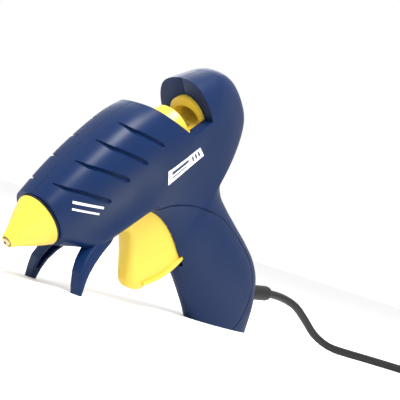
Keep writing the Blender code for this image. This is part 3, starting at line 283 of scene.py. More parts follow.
# ---- shells -------------------------------------------------------------------------------------
# Two moulded nylon halves in dark navy, screwed together along the middle. Their skin is lofted from
# STATIONS, in millimetres: (u, v) on the top line, (u, v) on the lower line, and half widths in between,
# each at its share of that chord. Legs, hollows, grooves and seams are then added and cut.
TILT = math.radians(43.2)
NOSE_HEIGHT = 0.0157
GAP = 0.0003
SPLIT = 0.00015
WALL = 0.0024
STATIONS = [
    # top u, v      bottom u, v       p1      share, width of four inner points            last
    (24.4, 15.6, 24.4, -15.6, 8.6, (0.10, 15.0), (0.50, 16.4), (0.80, 15.6), (0.97, 10.5), 3.0),
    (35.0, 18.6, 33.5, -21.5, 9.5, (0.10, 16.0), (0.42, 19.0), (0.72, 16.6), (0.94, 14.6), 9.0),
    (47.0, 21.6, 45.0, -28.0, 10.5, (0.10, 17.5), (0.42, 21.0), (0.72, 15.4), (0.94, 16.4), 14.5),
    (63.0, 24.9, 61.0, -29.6, 11.5, (0.11, 18.6), (0.42, 22.4), (0.74, 14.6), (0.93, 16.6), 15.0),
    (81.0, 27.6, 75.0, -30.2, 12.0, (0.12, 19.4), (0.43, 23.0), (0.72, 15.6), (0.93, 16.4), 15.0),
    (94.6, 28.5, 85.0, -31.0, 12.2, (0.12, 19.8), (0.42, 23.4), (0.70, 16.2), (0.93, 16.2), 14.0),
    (107.0, 27.8, 89.5, -33.0, 12.2, (0.12, 19.8), (0.42, 23.2), (0.70, 17.0), (0.92, 15.4), 11.0),
    (124.0, 26.2, 91.5, -35.5, 12.0, (0.13, 19.8), (0.42, 22.8), (0.70, 18.0), (0.92, 14.2), 8.5),
    (141.2, 23.6, 93.2, -38.4, 12.0, (0.14, 19.6), (0.40, 22.4), (0.68, 17.6), (0.92, 13.2), 7.5),
    (154.0, 21.3, 94.6, -41.4, 11.6, (0.14, 18.8), (0.38, 21.6), (0.66, 17.0), (0.92, 12.4), 7.0),
    (166.5, 17.4, 95.8, -44.6, 11.0, (0.13, 17.4), (0.36, 20.6), (0.66, 16.4), (0.92, 11.8), 6.8),
    (175.0, 8.0, 96.9, -48.0, 10.0, (0.12, 15.8), (0.36, 19.4), (0.66, 15.8), (0.92, 11.4), 6.6),
    (179.2, -5.0, 98.0, -51.8, 9.0, (0.12, 14.6), (0.36, 17.8), (0.66, 15.2), (0.92, 11.0), 6.4),
    (179.2, -17.5, 99.0, -56.0, 8.0, (0.12, 13.2), (0.38, 16.2), (0.66, 14.8), (0.92, 10.8), 6.4),
    (171.0, -27.5, 100.0, -60.5, 7.6, (0.12, 12.6), (0.38, 15.4), (0.66, 14.4), (0.92, 10.6), 6.4),
    (158.0, -34.0, 100.9, -65.5, 7.6, (0.12, 12.4), (0.38, 15.0), (0.68, 14.2), (0.92, 10.4), 6.4),
    (149.0, -42.0, 101.6, -71.0, 7.6, (0.12, 12.4), (0.38, 15.0), (0.70, 14.0), (0.92, 10.2), 6.4),
    (146.4, -52.0, 102.2, -77.0, 7.6, (0.12, 12.4), (0.38, 15.0), (0.72, 13.8), (0.93, 9.6), 5.4),
    (148.4, -63.5, 102.9, -84.0, 7.8, (0.12, 12.6), (0.38, 15.2), (0.72, 13.8), (0.93, 9.2), 4.6),
    (153.2, -80.0, 103.8, -94.0, 8.0, (0.12, 12.8), (0.38, 15.6), (0.72, 14.0), (0.93, 9.2), 4.2),
    (157.8, -95.0, 104.5, -104.0, 8.0, (0.12, 13.0), (0.38, 15.8), (0.72, 14.0), (0.93, 9.2), 4.2),
    (160.9, -109.0, 104.9, -114.0, 8.0, (0.12, 13.0), (0.38, 15.8), (0.72, 14.0), (0.93, 9.2), 4.2),
    (160.2, -122.0, 104.8, -124.0, 8.0, (0.12, 12.8), (0.38, 15.4), (0.72, 13.8), (0.93, 9.2), 4.2),
    (155.0, -134.5, 104.6, -136.0, 7.6, (0.12, 12.2), (0.38, 14.8), (0.72, 13.4), (0.93, 9.0), 4.2),
    (147.0, -144.0, 104.4, -150.0, 7.0, (0.12, 11.6), (0.38, 14.2), (0.72, 13.0), (0.93, 9.0), 4.2),
    (134.0, -154.0, 104.2, -168.0, 6.4, (0.12, 11.0), (0.38, 13.6), (0.72, 12.6), (0.93, 9.0), 4.2),
]
LEG = [
    (-0.0040, 40.6, 43.8, 16.6, 22.4),
    (0.0000, 40.0, 43.6, 16.0, 21.8),
    (0.0060, 38.8, 44.2, 14.8, 21.2),
    (0.0120, 38.5, 45.6, 13.4, 20.5),
    (0.0180, 40.2, 48.6, 11.6, 19.3),
    (0.0240, 44.0, 53.0, 9.2, 17.6),
    (0.0310, 50.5, 59.5, 7.0, 15.2),
    (0.0370, 56.5, 64.5, 5.0, 12.0),
]
SCREWS = [(0.0385, -0.0185), (0.0800, 0.0195), (0.1640, -0.0220), (0.1140, -0.0980), (0.1325, -0.1300)]
GROOVES = [
    ((0.0338, 0.0179), (0.0358, 0.0149), (0.0584, -0.0053)),
    ((0.0510, 0.0221), (0.0527, 0.0190), (0.0726, -0.0002)),
    ((0.0679, 0.0253), (0.0691, 0.0218), (0.0865, 0.0027)),
    ((0.0843, 0.0273), (0.0857, 0.0233), (0.1003, 0.0061)),
]
HOOP_U, HOOP_REAR_U, LEDGE_V, RIDGE_U, SLANT = 0.1412, 0.1765, -0.0003, 0.1050, 0.66
BORE_R = 0.0126
TRIGGER_PIVOT = (0.0930, -0.0220)
LEVER_PIVOT = (0.1170, -0.0400)
PIN_HOLE_R = 0.0023
TRIGGER_HALF = 0.0068
LIP_R, LIP_THICK, LIP_HALF = 0.0545, 0.0022, 0.0082
PANEL_BACK = [
    (89, -32), (95.3, -33.7), (103.2, -35.9), (112, -40.4), (119.9, -45.8), (129.4, -55), (138, -65),
    (144.9, -79.8), (149.3, -91.2), (152.1, -103.3), (151.9, -114.9), (148.2, -123.1), (142, -129.6),
    (133, -135.6), (123.3, -138.8),
]


def barrel(points):
    """Turns and lifts (u, v, y) rows of the barrel's frame into place."""
    p = np.asarray(points, float)
    return np.stack([p[..., 0] * math.cos(TILT) - p[..., 1] * math.sin(TILT) - CENTRE_X, p[..., 2],
                     p[..., 0] * math.sin(TILT) + p[..., 1] * math.cos(TILT) + NOSE_HEIGHT], -1)


def mesh_object(name, verts, faces):
    """An object whose faces point outwards, from points and faces."""
    mesh = bpy.data.meshes.new(name)
    mesh.from_pydata(np.asarray(verts).reshape(-1, 3).tolist(), [], faces)
    bm = bmesh.new()
    bm.from_mesh(mesh)
    bmesh.ops.remove_doubles(bm, verts=bm.verts, dist=1e-7)
    bmesh.ops.triangulate(bm, faces=bm.faces)
    bmesh.ops.recalc_face_normals(bm, faces=bm.faces)
    bm.to_mesh(mesh)
    bm.free()
    obj = bpy.data.objects.new(name, mesh)
    bpy.context.scene.collection.objects.link(obj)
    return obj


def skinned(name, rings):
    """A closed solid through equal closed rings of points, one behind the other, with filled ends."""
    rings = np.asarray(rings, float)
    count, size = rings.shape[:2]
    a = (np.arange(count - 1)[:, None] * size + np.arange(size)).ravel()
    b = (np.arange(count - 1)[:, None] * size + (np.arange(size) + 1) % size).ravel()
    faces = np.stack([a, b, b + size, a + size], -1).tolist()
    faces += [list(range(size)), list(range((count - 1) * size, count * size))]
    return mesh_object(name, rings, faces)


def prism(outline, y0, y1):
    """The outline in (u, v), from y0 to y1 across."""
    outline = np.asarray(outline, float)
    return skinned("prism", [barrel(np.insert(outline, 2, y, 1)) for y in (y0, y1)])


def block(u0, u1, v0, v1, y0, y1):
    """A box in the barrel's frame."""
    return prism([(u0, v0), (u1, v0), (u1, v1), (u0, v1)], y0, y1)


def arc(u, v, r, steps=48, start=0.0, sweep=2 * math.pi):
    """Points on a circle, or on a part of it with both of its ends."""
    a = start + sweep * np.arange(steps + (sweep < 6.28)) / steps
    return np.stack([u + r * np.cos(a), v + r * np.sin(a)], -1)


def turned_solid(name, outline, steps=96, squash=1.0):
    """The closed outline of (u, r) swept once round the barrel's axis: v = squash r cos a, y = r sin a."""
    outline = np.asarray(outline, float)
    outline[:, 1] = np.maximum(outline[:, 1], 0.0)
    a = 2 * np.pi * np.arange(steps)[:, None] / steps
    r = outline[:, 1]
    verts = np.stack([outline[:, 0] + 0 * a, squash * r * np.cos(a), r * np.sin(a)], -1)
    size = len(outline)
    i = (np.arange(steps)[:, None] * size + np.arange(size)).ravel()
    j = (np.arange(steps)[:, None] * size + (np.arange(size) + 1) % size).ravel()
    total = steps * size
    faces = np.stack([i, j, (j + size) % total, (i + size) % total], -1)
    return mesh_object(name, barrel(verts), faces.tolist())


def world_box(x0, x1, y0, y1, z0, z1):
    """A box in the table's frame."""
    ring = np.array([(x0, y0), (x1, y0), (x1, y1), (x0, y1)])
    return skinned("box", [np.insert(ring, 2, z, 1) for z in (z0, z1)])


def shaped(obj, changes):
    """Applies (operation, tool) pairs in their order and takes the tools away."""
    for operation, tool in changes:
        mod = obj.modifiers.new(operation, "BOOLEAN")
        mod.operation, mod.object, mod.solver = operation, tool, "MANIFOLD"
    graph = bpy.context.evaluated_depsgraph_get()
    mesh = bpy.data.meshes.new_from_object(obj.evaluated_get(graph))
    obj.modifiers.clear()
    obj.data = mesh
    for _, tool in changes:
        bpy.data.objects.remove(tool, do_unlink=True)
    return obj


def smooth_edges(obj, angle=32.0):
    """Smooth faces, with edges sharper than angle kept."""
    obj.data.polygons.foreach_set("use_smooth", np.ones(len(obj.data.polygons), bool))
    obj.data.set_sharp_from_angle(angle=math.radians(angle))
    return obj


def skin_grid(inset, t, s):
    """The half body's skin at every t and s, as (u, v, y).

    Each station's row is the eight points p + (q - p) share at half widths w between its top point p and
    lower point q, moved in by inset. Along t the rows are joined by a Catmull-Rom curve; across s, from 0
    at the top to 1 below, they weigh in by a clamped cubic B-spline.
    """
    top = np.array([row[0:2] for row in STATIONS]) / 1000
    low = np.array([row[2:4] for row in STATIONS]) / 1000
    step = lambda line: np.vstack([line[1] - line[0], line[2:] - line[:-2], line[-1] - line[-2]])
    n_top = step(top)[:, ::-1] * (1, -1)
    n_low = step(low)[:, ::-1] * (-1, 1)
    p = top + inset * n_top / np.linalg.norm(n_top, axis=1, keepdims=True)
    q = low + inset * n_low / np.linalg.norm(n_low, axis=1, keepdims=True)
    shares = np.array([(0, 0, *[x[0] for x in row[5:9]], 1, 1) for row in STATIONS])
    width = np.array([(0, row[4], *[x[1] for x in row[5:9]], row[9], 0) for row in STATIONS]) / 1000
    width = np.where(width > 0, np.maximum(width - inset, 0.0015), 0)
    chord = p[:, None] + (q - p)[:, None] * shares[..., None]
    rows = np.concatenate([chord, width[..., None]], -1)
    i = np.minimum(t.astype(int), len(rows) - 2)
    f = (t - i)[:, None, None]
    a, b, c, d = (rows[np.clip(i + k, 0, len(rows) - 1)] for k in (-1, 0, 1, 2))
    along = 0.5 * (2 * b + (c - a) * f + (2 * a - 5 * b + 4 * c - d) * f ** 2
                   + (3 * b - a - 3 * c + d) * f ** 3)
    knots = np.concatenate([np.zeros(3), np.linspace(0, 1, 6), np.ones(3)])
    s = np.minimum(s, 1 - 1e-12)[:, None]
    basis = ((knots[:-1] <= s) & (s < knots[1:])).astype(float)
    for degree in (1, 2, 3):
        rise, fall = knots[degree:-1] - knots[:-degree - 1], knots[degree + 1:] - knots[1:-degree]
        up = np.where(rise > 0, (s - knots[:-degree - 1]) / np.where(rise > 0, rise, 1), 0)
        down = np.where(fall > 0, (knots[degree + 1:] - s) / np.where(fall > 0, fall, 1), 0)
        basis = up * basis[:, :-1] + down * basis[:, 1:]
    return np.einsum("sc,tcx->tsx", basis, along)


def half_solid(name, side, grid, shift):
    """One closed half: the grid, moved shift away from the middle, and its flat parting face."""
    moved = grid * (1, 1, side) + (0, 0, side * shift)
    return skinned(name, barrel(moved))


def groove_tool(grid, places, side):
    """A slot along the skin: one steep wall behind, a floor that rises to the front, a rounded end."""
    at_v = np.array([p[1] for p in places])[::-1]
    at_u = np.array([p[0] for p in places])[::-1]
    value = grid[..., 0] - np.interp(grid[..., 1], at_v, at_u)
    k = np.argmax(value > 0, axis=0)
    column = np.arange(grid.shape[1])
    f = (value[k - 1, column] / (value[k - 1, column] - value[k, column]))[:, None]
    line = grid[k - 1, column] * (1 - f) + grid[k, column] * f
    line = line[(line[:, 1] < at_v[-1]) & (line[:, 1] > at_v[0])]
    run = np.concatenate([[0], np.cumsum(np.linalg.norm(np.diff(line, axis=0), axis=1))])
    share = np.array([0, 0.04, 0.1, 0.2, 0.3, 0.45, 0.6, 0.75, 0.86, 0.93, 0.965, 0.985, 1.0])
    spot = np.stack([np.interp(share * run[-1], run, line[:, x]) for x in range(3)], -1)
    along = np.gradient(spot, axis=0)
    along /= np.linalg.norm(along, axis=1, keepdims=True)
    out = np.cross(along, (1.0, 0.0, 0.0))
    out /= np.linalg.norm(out, axis=1, keepdims=True)
    out *= np.where(out[:, 2:] < 0, -1, 1)
    across = np.cross(out, along)
    across *= np.where(across[:, :1] < 0, -1, 1)
    end = np.sqrt(np.clip((1 - share) / 0.07, 0, 1)) * 0.9 + 0.1
    half = (0.55 + 1.25 * np.clip(share / 0.4, 0, 1)) * end / 1000
    deep = (0.5 + 0.9 * np.clip(share / 0.25, 0, 1)) * (0.3 + 0.7 * end) / 1000
    shape = ((1.0, 3.0), (1.0, 0.0), (0.86, -1.0), (0.35, -1.0), (-0.7, -0.25), (-1.0, 0.15), (-1.0, 3.0))
    rings = [spot + across * (half * du)[:, None] + out * (deep * dn)[:, None] for du, dn in shape]
    rings = np.stack(rings, 1) * (1, 1, side) + (0, 0, side * SPLIT)
    return skinned("groove", barrel(rings))


def tube_along(line, r, steps=10):
    """A round tube along points in the table's frame."""
    along = np.gradient(line, axis=0)
    along /= np.linalg.norm(along, axis=1, keepdims=True)
    first = np.cross(along, (0.0, 1.0, 0.0))
    first /= np.linalg.norm(first, axis=1, keepdims=True)
    second = np.cross(along, first)
    a = 2 * np.pi * np.arange(steps)[None, :, None] / steps
    return skinned("tube", line[:, None] + r * (first[:, None] * np.cos(a) + second[:, None] * np.sin(a)))


def panel_tool(grid, side):
    """The thin seam round the handle's inset panel, which follows the skin along its back line."""
    route = smooth_line(np.array(PANEL_BACK, float) / 1000, 8)
    flat = grid.reshape(-1, 3)
    gap = ((flat[None, ::3, :2] - route[:, None]) ** 2).sum(-1)
    near = np.argsort(gap, axis=1)[:, :6]
    weight = 1 / (np.take_along_axis(gap, near, 1) + 1e-9)
    height = (flat[::3, 2][near] * weight).sum(1) / weight.sum(1)
    height = np.convolve(np.pad(height, 3, "edge"), np.ones(7) / 7, "valid")
    return tube_along(barrel(np.column_stack([route, side * (height + SPLIT)])), 0.00055)


def leg_solid(side, wall, first, last, inside):
    """The front leg or, when inside, the channel that is open towards the middle of the gun."""
    levels = np.array(LEG[first:last], float)
    z = np.linspace(levels[0, 0], levels[-1, 0], 40)
    x0, x1, y0, y1 = (np.interp(z, levels[:, 0], levels[:, k]) / 1000 for k in (1, 2, 3, 4))
    x0, x1 = x0 - CENTRE_X, x1 - CENTRE_X
    if inside:
        x0, x1, y0, y1 = x0 + wall, x1 - wall, y0 - 0.004, y1 - wall
    c = 0 * z if inside else np.minimum(0.0012, 0.3 * (x1 - x0))
    shape = ((x0, y0), (x1, y0), (x1, y1 - c), (x1 - c * 0.3, y1 - c * 0.3), (x1 - c, y1), (x0 + c, y1),
             (x0 + 0.3 * c, y1 - 0.3 * c), (x0, y1 - c))
    if inside:
        shape = ((x0, y0), (x1, y0), (x1, y1), (x0, y1))
    return skinned("leg", np.stack([np.stack([x, side * y, z], -1) for x, y in shape], 1))


def hoop_tool(side):
    """The open cut between the top cover and the hoop; the hoop's face leans 6 degrees, as a flat V."""
    lean = math.tan(math.radians(6))
    rings = []
    for y in (side * -0.001, side * 0.030):
        back = HOOP_U + lean * 0.0195 - (lean * abs(y) if abs(y) > 0.01 else 0)
        ridge = RIDGE_U + SLANT * 0.0278
        rings.append([(ridge - SLANT * v, v, y) if front else (back, v, y)
                      for front, v in ((True, LEDGE_V), (False, LEDGE_V), (False, 0.045), (True, 0.045))])
    return skinned("hoop", barrel(rings))


def shell_half(name, side):
    """One half of the housing."""
    t = np.concatenate([np.linspace(0, 6, 60, endpoint=False), np.linspace(6, 25, 150)])
    s = np.concatenate([[0, 0.004, 0.01, 0.02], np.linspace(0.035, 0.965, 52), [0.98, 0.99, 0.996, 1]])
    grid = skin_grid(0.0, t, s)
    outer = half_solid(name, side, grid, SPLIT)
    inner_grid = skin_grid(WALL, np.linspace(1, 23, 45), np.linspace(0, 1, 18))
    hollow = half_solid("hollow", side, inner_grid, -0.001)
    near, far = sorted((side * SPLIT, side * 0.030))
    keep = [prism(arc(u, v, 0.0040 + (0.0008 if side > 0 else 0)), near, far) for u, v in SCREWS]
    for pivot, hub in ((TRIGGER_PIVOT, TRIGGER_HALF + GAP), (LEVER_PIVOT, 0.0042)):
        keep.append(prism(arc(*pivot, 0.0040), *sorted((side * hub, side * 0.030))))
    keep += [block(0.0664, 0.0682, -0.0145, 0.040, near, far),
             block(HOOP_U - 0.0005, HOOP_U + 0.0024, LEDGE_V - WALL, 0.040, near, far),
             block(RIDGE_U, HOOP_U + 0.001, LEDGE_V - WALL, LEDGE_V + 0.0002, near, far),
             turned_solid("tunnel", [(HOOP_U, 0), (HOOP_REAR_U + 0.02, 0),
                                     (HOOP_REAR_U + 0.02, BORE_R + 0.002), (HOOP_U, BORE_R + 0.002)]),
             block(0.1545, 0.1565, -0.0215, -0.0130, near, far),
             block(-0.01, 0.0315, -0.05, 0.05, -0.04, 0.04), world_box(-0.3, 0.3, -0.1, 0.1, -0.1, WALL)]
    shaped(hollow, [("DIFFERENCE", tool) for tool in keep])
    inlet = 0.0074
    mouth = [(0.0665, -0.0245), (0.0840, -0.0165), (0.1010, -0.0165), (0.1035, -0.0300), (0.1150, -0.0500),
             (0.1215, -0.0640), (0.1215, -0.0700), (0.1130, -0.0800), (0.0955, -0.0790), (0.0600, -0.0900),
             (0.0560, -0.0600), (0.0620, -0.0400)]
    start, sweep = math.radians(-100), math.radians(50)
    lip = np.vstack([arc(*TRIGGER_PIVOT, LIP_R + 0.0006, 40, start, sweep),
                     arc(*TRIGGER_PIVOT, LIP_R - LIP_THICK - 0.0006, 40, start, sweep)[::-1]])
    tools = [leg_solid(side, 0.0018, 2, 6, True), world_box(-0.3, 0.3, -0.1, 0.1, -0.1, 0.0), hoop_tool(side),
             turned_solid("collar", [(0, 0), (0.040, 0), (0.040, 0.0121), (0.0289, 0.0121), (0.0289, 0.0138),
                                     (0.0263, 0.0138), (0.0263, 0.0121), (0, 0.0121)]),
             turned_solid("seat", [(0.0650, 0), (0.0700, 0), (0.0700, 0.0095), (0.0650, 0.0095)]),
             block(RIDGE_U - 0.006, 0.1290, -0.020, LEDGE_V + 0.002, -0.0147, 0.0147),
             block(0.1285, HOOP_U + 0.004, -0.020, LEDGE_V + 0.002, -BORE_R, BORE_R),
             turned_solid("bore", [(HOOP_U - 0.006, 0), (0.1610, 0), (0.1610, BORE_R),
                                   (HOOP_U - 0.006, BORE_R)]),
             turned_solid("inlet", [(0.15, 0), (0.2, 0), (0.2, inlet + 0.0045), (0.179, inlet + 0.0045),
                                    (0.1745, inlet), (0.15, inlet)], squash=0.0059 / 0.0074),
             prism(mouth, -0.0074, 0.0074), prism(lip, -0.0088, 0.0088),
             prism(arc(*TRIGGER_PIVOT, PIN_HOLE_R), -0.0125, 0.0125),
             prism(arc(*LEVER_PIVOT, PIN_HOLE_R), -0.0105, 0.0105)]
    for u, v in SCREWS:
        if side > 0:
            tools += [prism(arc(u, v, 0.00175), -0.001, 0.030), prism(arc(u, v, 0.0031), 0.0065, 0.030)]
        else:
            tools.append(prism(arc(u, v, 0.00175), -0.0105, 0.001))
    a = 2 * np.pi * np.arange(40) / 40
    rings = []
    for along, r in ((-0.0140, CORD_R + 0.0004), (-0.0113, CORD_R + 0.0004), (-0.0113, SLEEVE_R + GAP),
                     (-0.0091, SLEEVE_R + GAP), (-0.0091, SLEEVE_R + 0.0016), (-0.0059, SLEEVE_R + 0.0016),
                     (-0.0059, SLEEVE_R + GAP), (0.030, SLEEVE_R + GAP)):
        centre = np.array(sleeve_point(along))
        rise = np.array((-math.sin(SLEEVE_RISE), 0, math.cos(SLEEVE_RISE)))
        rings.append(centre + r * (rise * np.cos(a)[:, None] + np.array((0, 1.0, 0)) * np.sin(a)[:, None]))
    tools.append(skinned("sleeve", rings))
    wide = skin_grid(0.0, np.linspace(0, 8, 400), np.linspace(0, 1, 160))
    tools += [groove_tool(wide, places, side) for places in GROOVES]
    tools.append(panel_tool(grid, side))
    shaped(outer, [("UNION", leg_solid(side, 0, 0, 8, False)), ("DIFFERENCE", hollow)]
           + [("DIFFERENCE", tool) for tool in tools])
    smooth_edges(outer)
    return outer


shell_navy = moulded("shell_navy", (0.0016, 0.0130, 0.056), 0.38, 0.48, 1800.0, 0.18, 0.00035, shine=0.17)
for name, side in (("left_shell", -1), ("right_shell", 1)):
    finish_piece(shell_half(name + "_visual", side), shell_navy, "housing", "shell", name)

# ---- label --------------------------------------------------------------------------------------
# Printed films 0.08 mm off the skin of each half: on the flank a plain white field with two bars and
# three short strokes, and behind the nose two plain white bars. None of them spells anything.
LABEL = [(0.1008, -0.0099), (0.1275, -0.0094), (0.1302, -0.0164), (0.0999, -0.0190)]
PRINT_BARS = [(0.10, 0.60, 0.22, 0.48), (0.10, 0.50, 0.62, 0.74), (0.70, 0.75, 0.22, 0.74),
              (0.79, 0.84, 0.22, 0.74), (0.88, 0.93, 0.22, 0.74)]
NOSE_MARKS = [[(0.0355, 0.0090), (0.0525, -0.0044), (0.0520, -0.0057), (0.0348, 0.0078)],
              [(0.0336, 0.0058), (0.0490, -0.0065), (0.0486, -0.0075), (0.0331, 0.0048)]]


def label_film(name, side, skin, corners):
    """A grid between the four corners, p = bilinear(i, j), dropped onto the skin along y."""
    i, j = np.meshgrid(np.linspace(0, 1, 60), np.linspace(0, 1, 24), indexing="ij")
    a, b, c, d = (np.array(corner) for corner in corners)
    i, j = i[..., None], j[..., None]
    flat = (a * (1 - i) + b * i) * (1 - j) + (d * (1 - i) + c * i) * j
    grid = barrel(np.concatenate([flat, 0 * i + side * 0.030], -1))
    size = 24
    k = (np.arange(59)[:, None] * size + np.arange(23)).ravel()
    faces = np.stack([k, k + 1, k + size + 1, k + size], -1)
    mesh = bpy.data.meshes.new(name)
    faces = faces if side > 0 else faces[:, ::-1]
    mesh.from_pydata(grid.reshape(-1, 3).tolist(), [], faces.tolist())
    uv = mesh.uv_layers.new(name="print")
    share = np.concatenate([i, j], -1).reshape(-1, 2)
    corner = np.zeros(len(mesh.loops), int)
    mesh.loops.foreach_get("vertex_index", corner)
    uv.data.foreach_set("uv", share[corner].ravel())
    obj = bpy.data.objects.new(name, mesh)
    bpy.context.scene.collection.objects.link(obj)
    wrap = obj.modifiers.new("lie", "SHRINKWRAP")
    wrap.target, wrap.wrap_method, wrap.wrap_mode = skin, "PROJECT", "ON_SURFACE"
    wrap.use_project_y, wrap.use_negative_direction, wrap.use_positive_direction = True, side > 0, side < 0
    wrap.offset = 0.00008
    graph = bpy.context.evaluated_depsgraph_get()
    obj.data = bpy.data.meshes.new_from_object(obj.evaluated_get(graph))
    obj.modifiers.clear()
    return smooth_edges(obj, 60)


def label_print():
    """White film with dark generic bars: masks are boxes in the film's own (i, j)."""
    mat = bpy.data.materials.new("label_print")
    mat.use_nodes = True
    nodes, links = mat.node_tree.nodes, mat.node_tree.links
    shader = nodes["Principled BSDF"]
    shader.inputs["Roughness"].default_value = 0.35
    shader.inputs["Specular IOR Level"].default_value = 0.3
    place, split = nodes.new("ShaderNodeUVMap"), nodes.new("ShaderNodeSeparateXYZ")
    place.uv_map = "print"
    links.new(place.outputs["UV"], split.inputs["Vector"])
    total = None
    for left, right, low, high in PRINT_BARS:
        mask = None
        for socket, centre, half in (("X", (left + right) / 2, (right - left) / 2),
                                     ("Y", (low + high) / 2, (high - low) / 2)):
            near = nodes.new("ShaderNodeMath")
            near.operation = "COMPARE"
            near.inputs[1].default_value, near.inputs[2].default_value = centre, half
            links.new(split.outputs[socket], near.inputs[0])
            if mask:
                both = nodes.new("ShaderNodeMath")
                both.operation = "MULTIPLY"
                links.new(mask, both.inputs[0])
                links.new(near.outputs["Value"], both.inputs[1])
                mask = both.outputs["Value"]
            else:
                mask = near.outputs["Value"]
        if total:
            either = nodes.new("ShaderNodeMath")
            either.operation = "MAXIMUM"
            links.new(total, either.inputs[0])
            links.new(mask, either.inputs[1])
            total = either.outputs["Value"]
        else:
            total = mask
    ink = nodes.new("ShaderNodeMix")
    ink.data_type = "RGBA"
    ink.inputs["A"].default_value = (0.90, 0.90, 0.91, 1)
    ink.inputs["B"].default_value = (0.010, 0.022, 0.075, 1)
    links.new(total, ink.inputs["Factor"])
    links.new(ink.outputs["Result"], shader.inputs["Base Color"])
    return mat


film = label_print()
white_ink = moulded("white_ink", (0.72, 0.73, 0.75), 0.4, 0.5, 1500.0, 0.05)
for name, side in (("left_shell", -1), ("right_shell", 1)):
    skin = bpy.data.objects[name + "_visual"]
    finish_piece(label_film("label_" + name, side, skin, LABEL), film, "housing", "shell")
    for index, corners in enumerate(NOSE_MARKS):
        mark = label_film("mark_%d_%s" % (index, name), side, skin, corners)
        finish_piece(mark, white_ink, "housing", "shell")

# ---- nose ---------------------------------------------------------------------------------------
# Heat-proof yellow cone with two faint long flutes, a near-black ring behind it that is painted shade for the
# dark gap between cone and shell, and a turned brass tip.
FRONT_R = 0.0156
FLUTE_AT = math.radians(34)


def cone_mesh():
    """Turned outline r(u), with r lowered by flutes: 0.35 mm times a bell of the angle from each."""
    outer = smooth_line([(0.0012, 0.0036, 0), (0.0070, 0.0064, 0), (0.0150, 0.0109, 0),
                         (0.0229, 0.0148, 0)], 14)
    rows = np.vstack([[(0.0012, 0.0031, 0), (0.0012, 0.0033, 0)], outer,
                      [(0.0229, 0.0118, 0), (0.0266, 0.0118, 0), (0.0266, 0.0135, 0), (0.0286, 0.0135, 0),
                       (0.0286, 0.0118, 0), (0.0310, 0.0118, 0), (0.0310, 0.0102, 0), (0.0235, 0.0102, 0),
                       (0.0150, 0.0086, 0), (0.0076, 0.0048, 0), (0.0050, 0.0031, 0)]])
    a = 2 * np.pi * np.arange(180)[:, None] / 180
    bell = sum(np.exp(-((np.angle(np.exp(1j * (a - at)))) / 0.10) ** 2)
               for at in (FLUTE_AT, -FLUTE_AT, math.pi - FLUTE_AT, FLUTE_AT - math.pi))
    skin = np.zeros(len(rows))
    skin[2:2 + len(outer)] = np.sin(np.linspace(0, np.pi, len(outer))) ** 0.5
    r = rows[:, 1] - 0.00035 * bell * skin
    verts = np.stack([rows[:, 0] + 0 * a, r * np.cos(a), r * np.sin(a)], -1)
    size, total = len(rows), 180 * len(rows)
    i = (np.arange(180)[:, None] * size + np.arange(size)).ravel()
    j = (np.arange(180)[:, None] * size + (np.arange(size) + 1) % size).ravel()
    faces = np.stack([i, j, (j + size) % total, (i + size) % total], -1)
    return smooth_edges(mesh_object("nose_cone_visual", barrel(verts), faces.tolist()))


feed_yellow = moulded("feed_yellow", (0.66, 0.47, 0.045), 0.30, 0.38, 1500.0, 0.06, 0.0004)
finish_piece(cone_mesh(), feed_yellow, "housing", "nose", "nose_cone")
brass = moulded("brass", (0.45, 0.36, 0.20), 0.30, 0.42, 2500.0, 0.10, 0.0002, 1.0)
tip = turned_solid("nozzle_tip_visual", [(0, 0.0009), (-0.0000, 0.0016), (0.0002, 0.0019), (0.0006, 0.0024),
                                         (0.0010, 0.0026), (0.0064, 0.0026), (0.0064, 0.0034),
                                         (0.0072, 0.0034), (0.0072, 0.0009)])
finish_piece(smooth_edges(tip), brass, "housing", "tip", "nozzle_tip")
# Near-black ring behind the cone: painted shade, a dark piece set where the gap between cone and shell lies
# in shadow.
gasket = turned_solid("gap_shade_ring_visual", [(0.0232, 0.0121), (0.0232, FRONT_R - 0.0010),
                                           (0.0235, FRONT_R - 0.0006),
                                           (0.0239, FRONT_R - 0.0006), (0.0241, FRONT_R - 0.0009),
                                           (0.0241, 0.0121)])
finish_piece(smooth_edges(gasket), moulded("gap_shade_black", (0.012, 0.012, 0.013), 0.55, 0.65, 900.0, 0.2),
             "housing", "gasket", "seal_ring")

# ---- trigger ------------------------------------------------------------------------------------
# Yellow moulding with a rounded front for two fingers, flat sides and a thin lip that sweeps back into
# the handle round the pin. Its section is rounded by moving the front edge in near both sides.
TRIGGER_FRONT = [(0.0880, -0.0182), (0.0745, -0.0330), (0.0748, -0.0390), (0.0722, -0.0480),
                 (0.0680, -0.0580), (0.0652, -0.0655), (0.0655, -0.0705), (0.0685, -0.0742)]
PAD_ANGLE = math.radians(18.35)


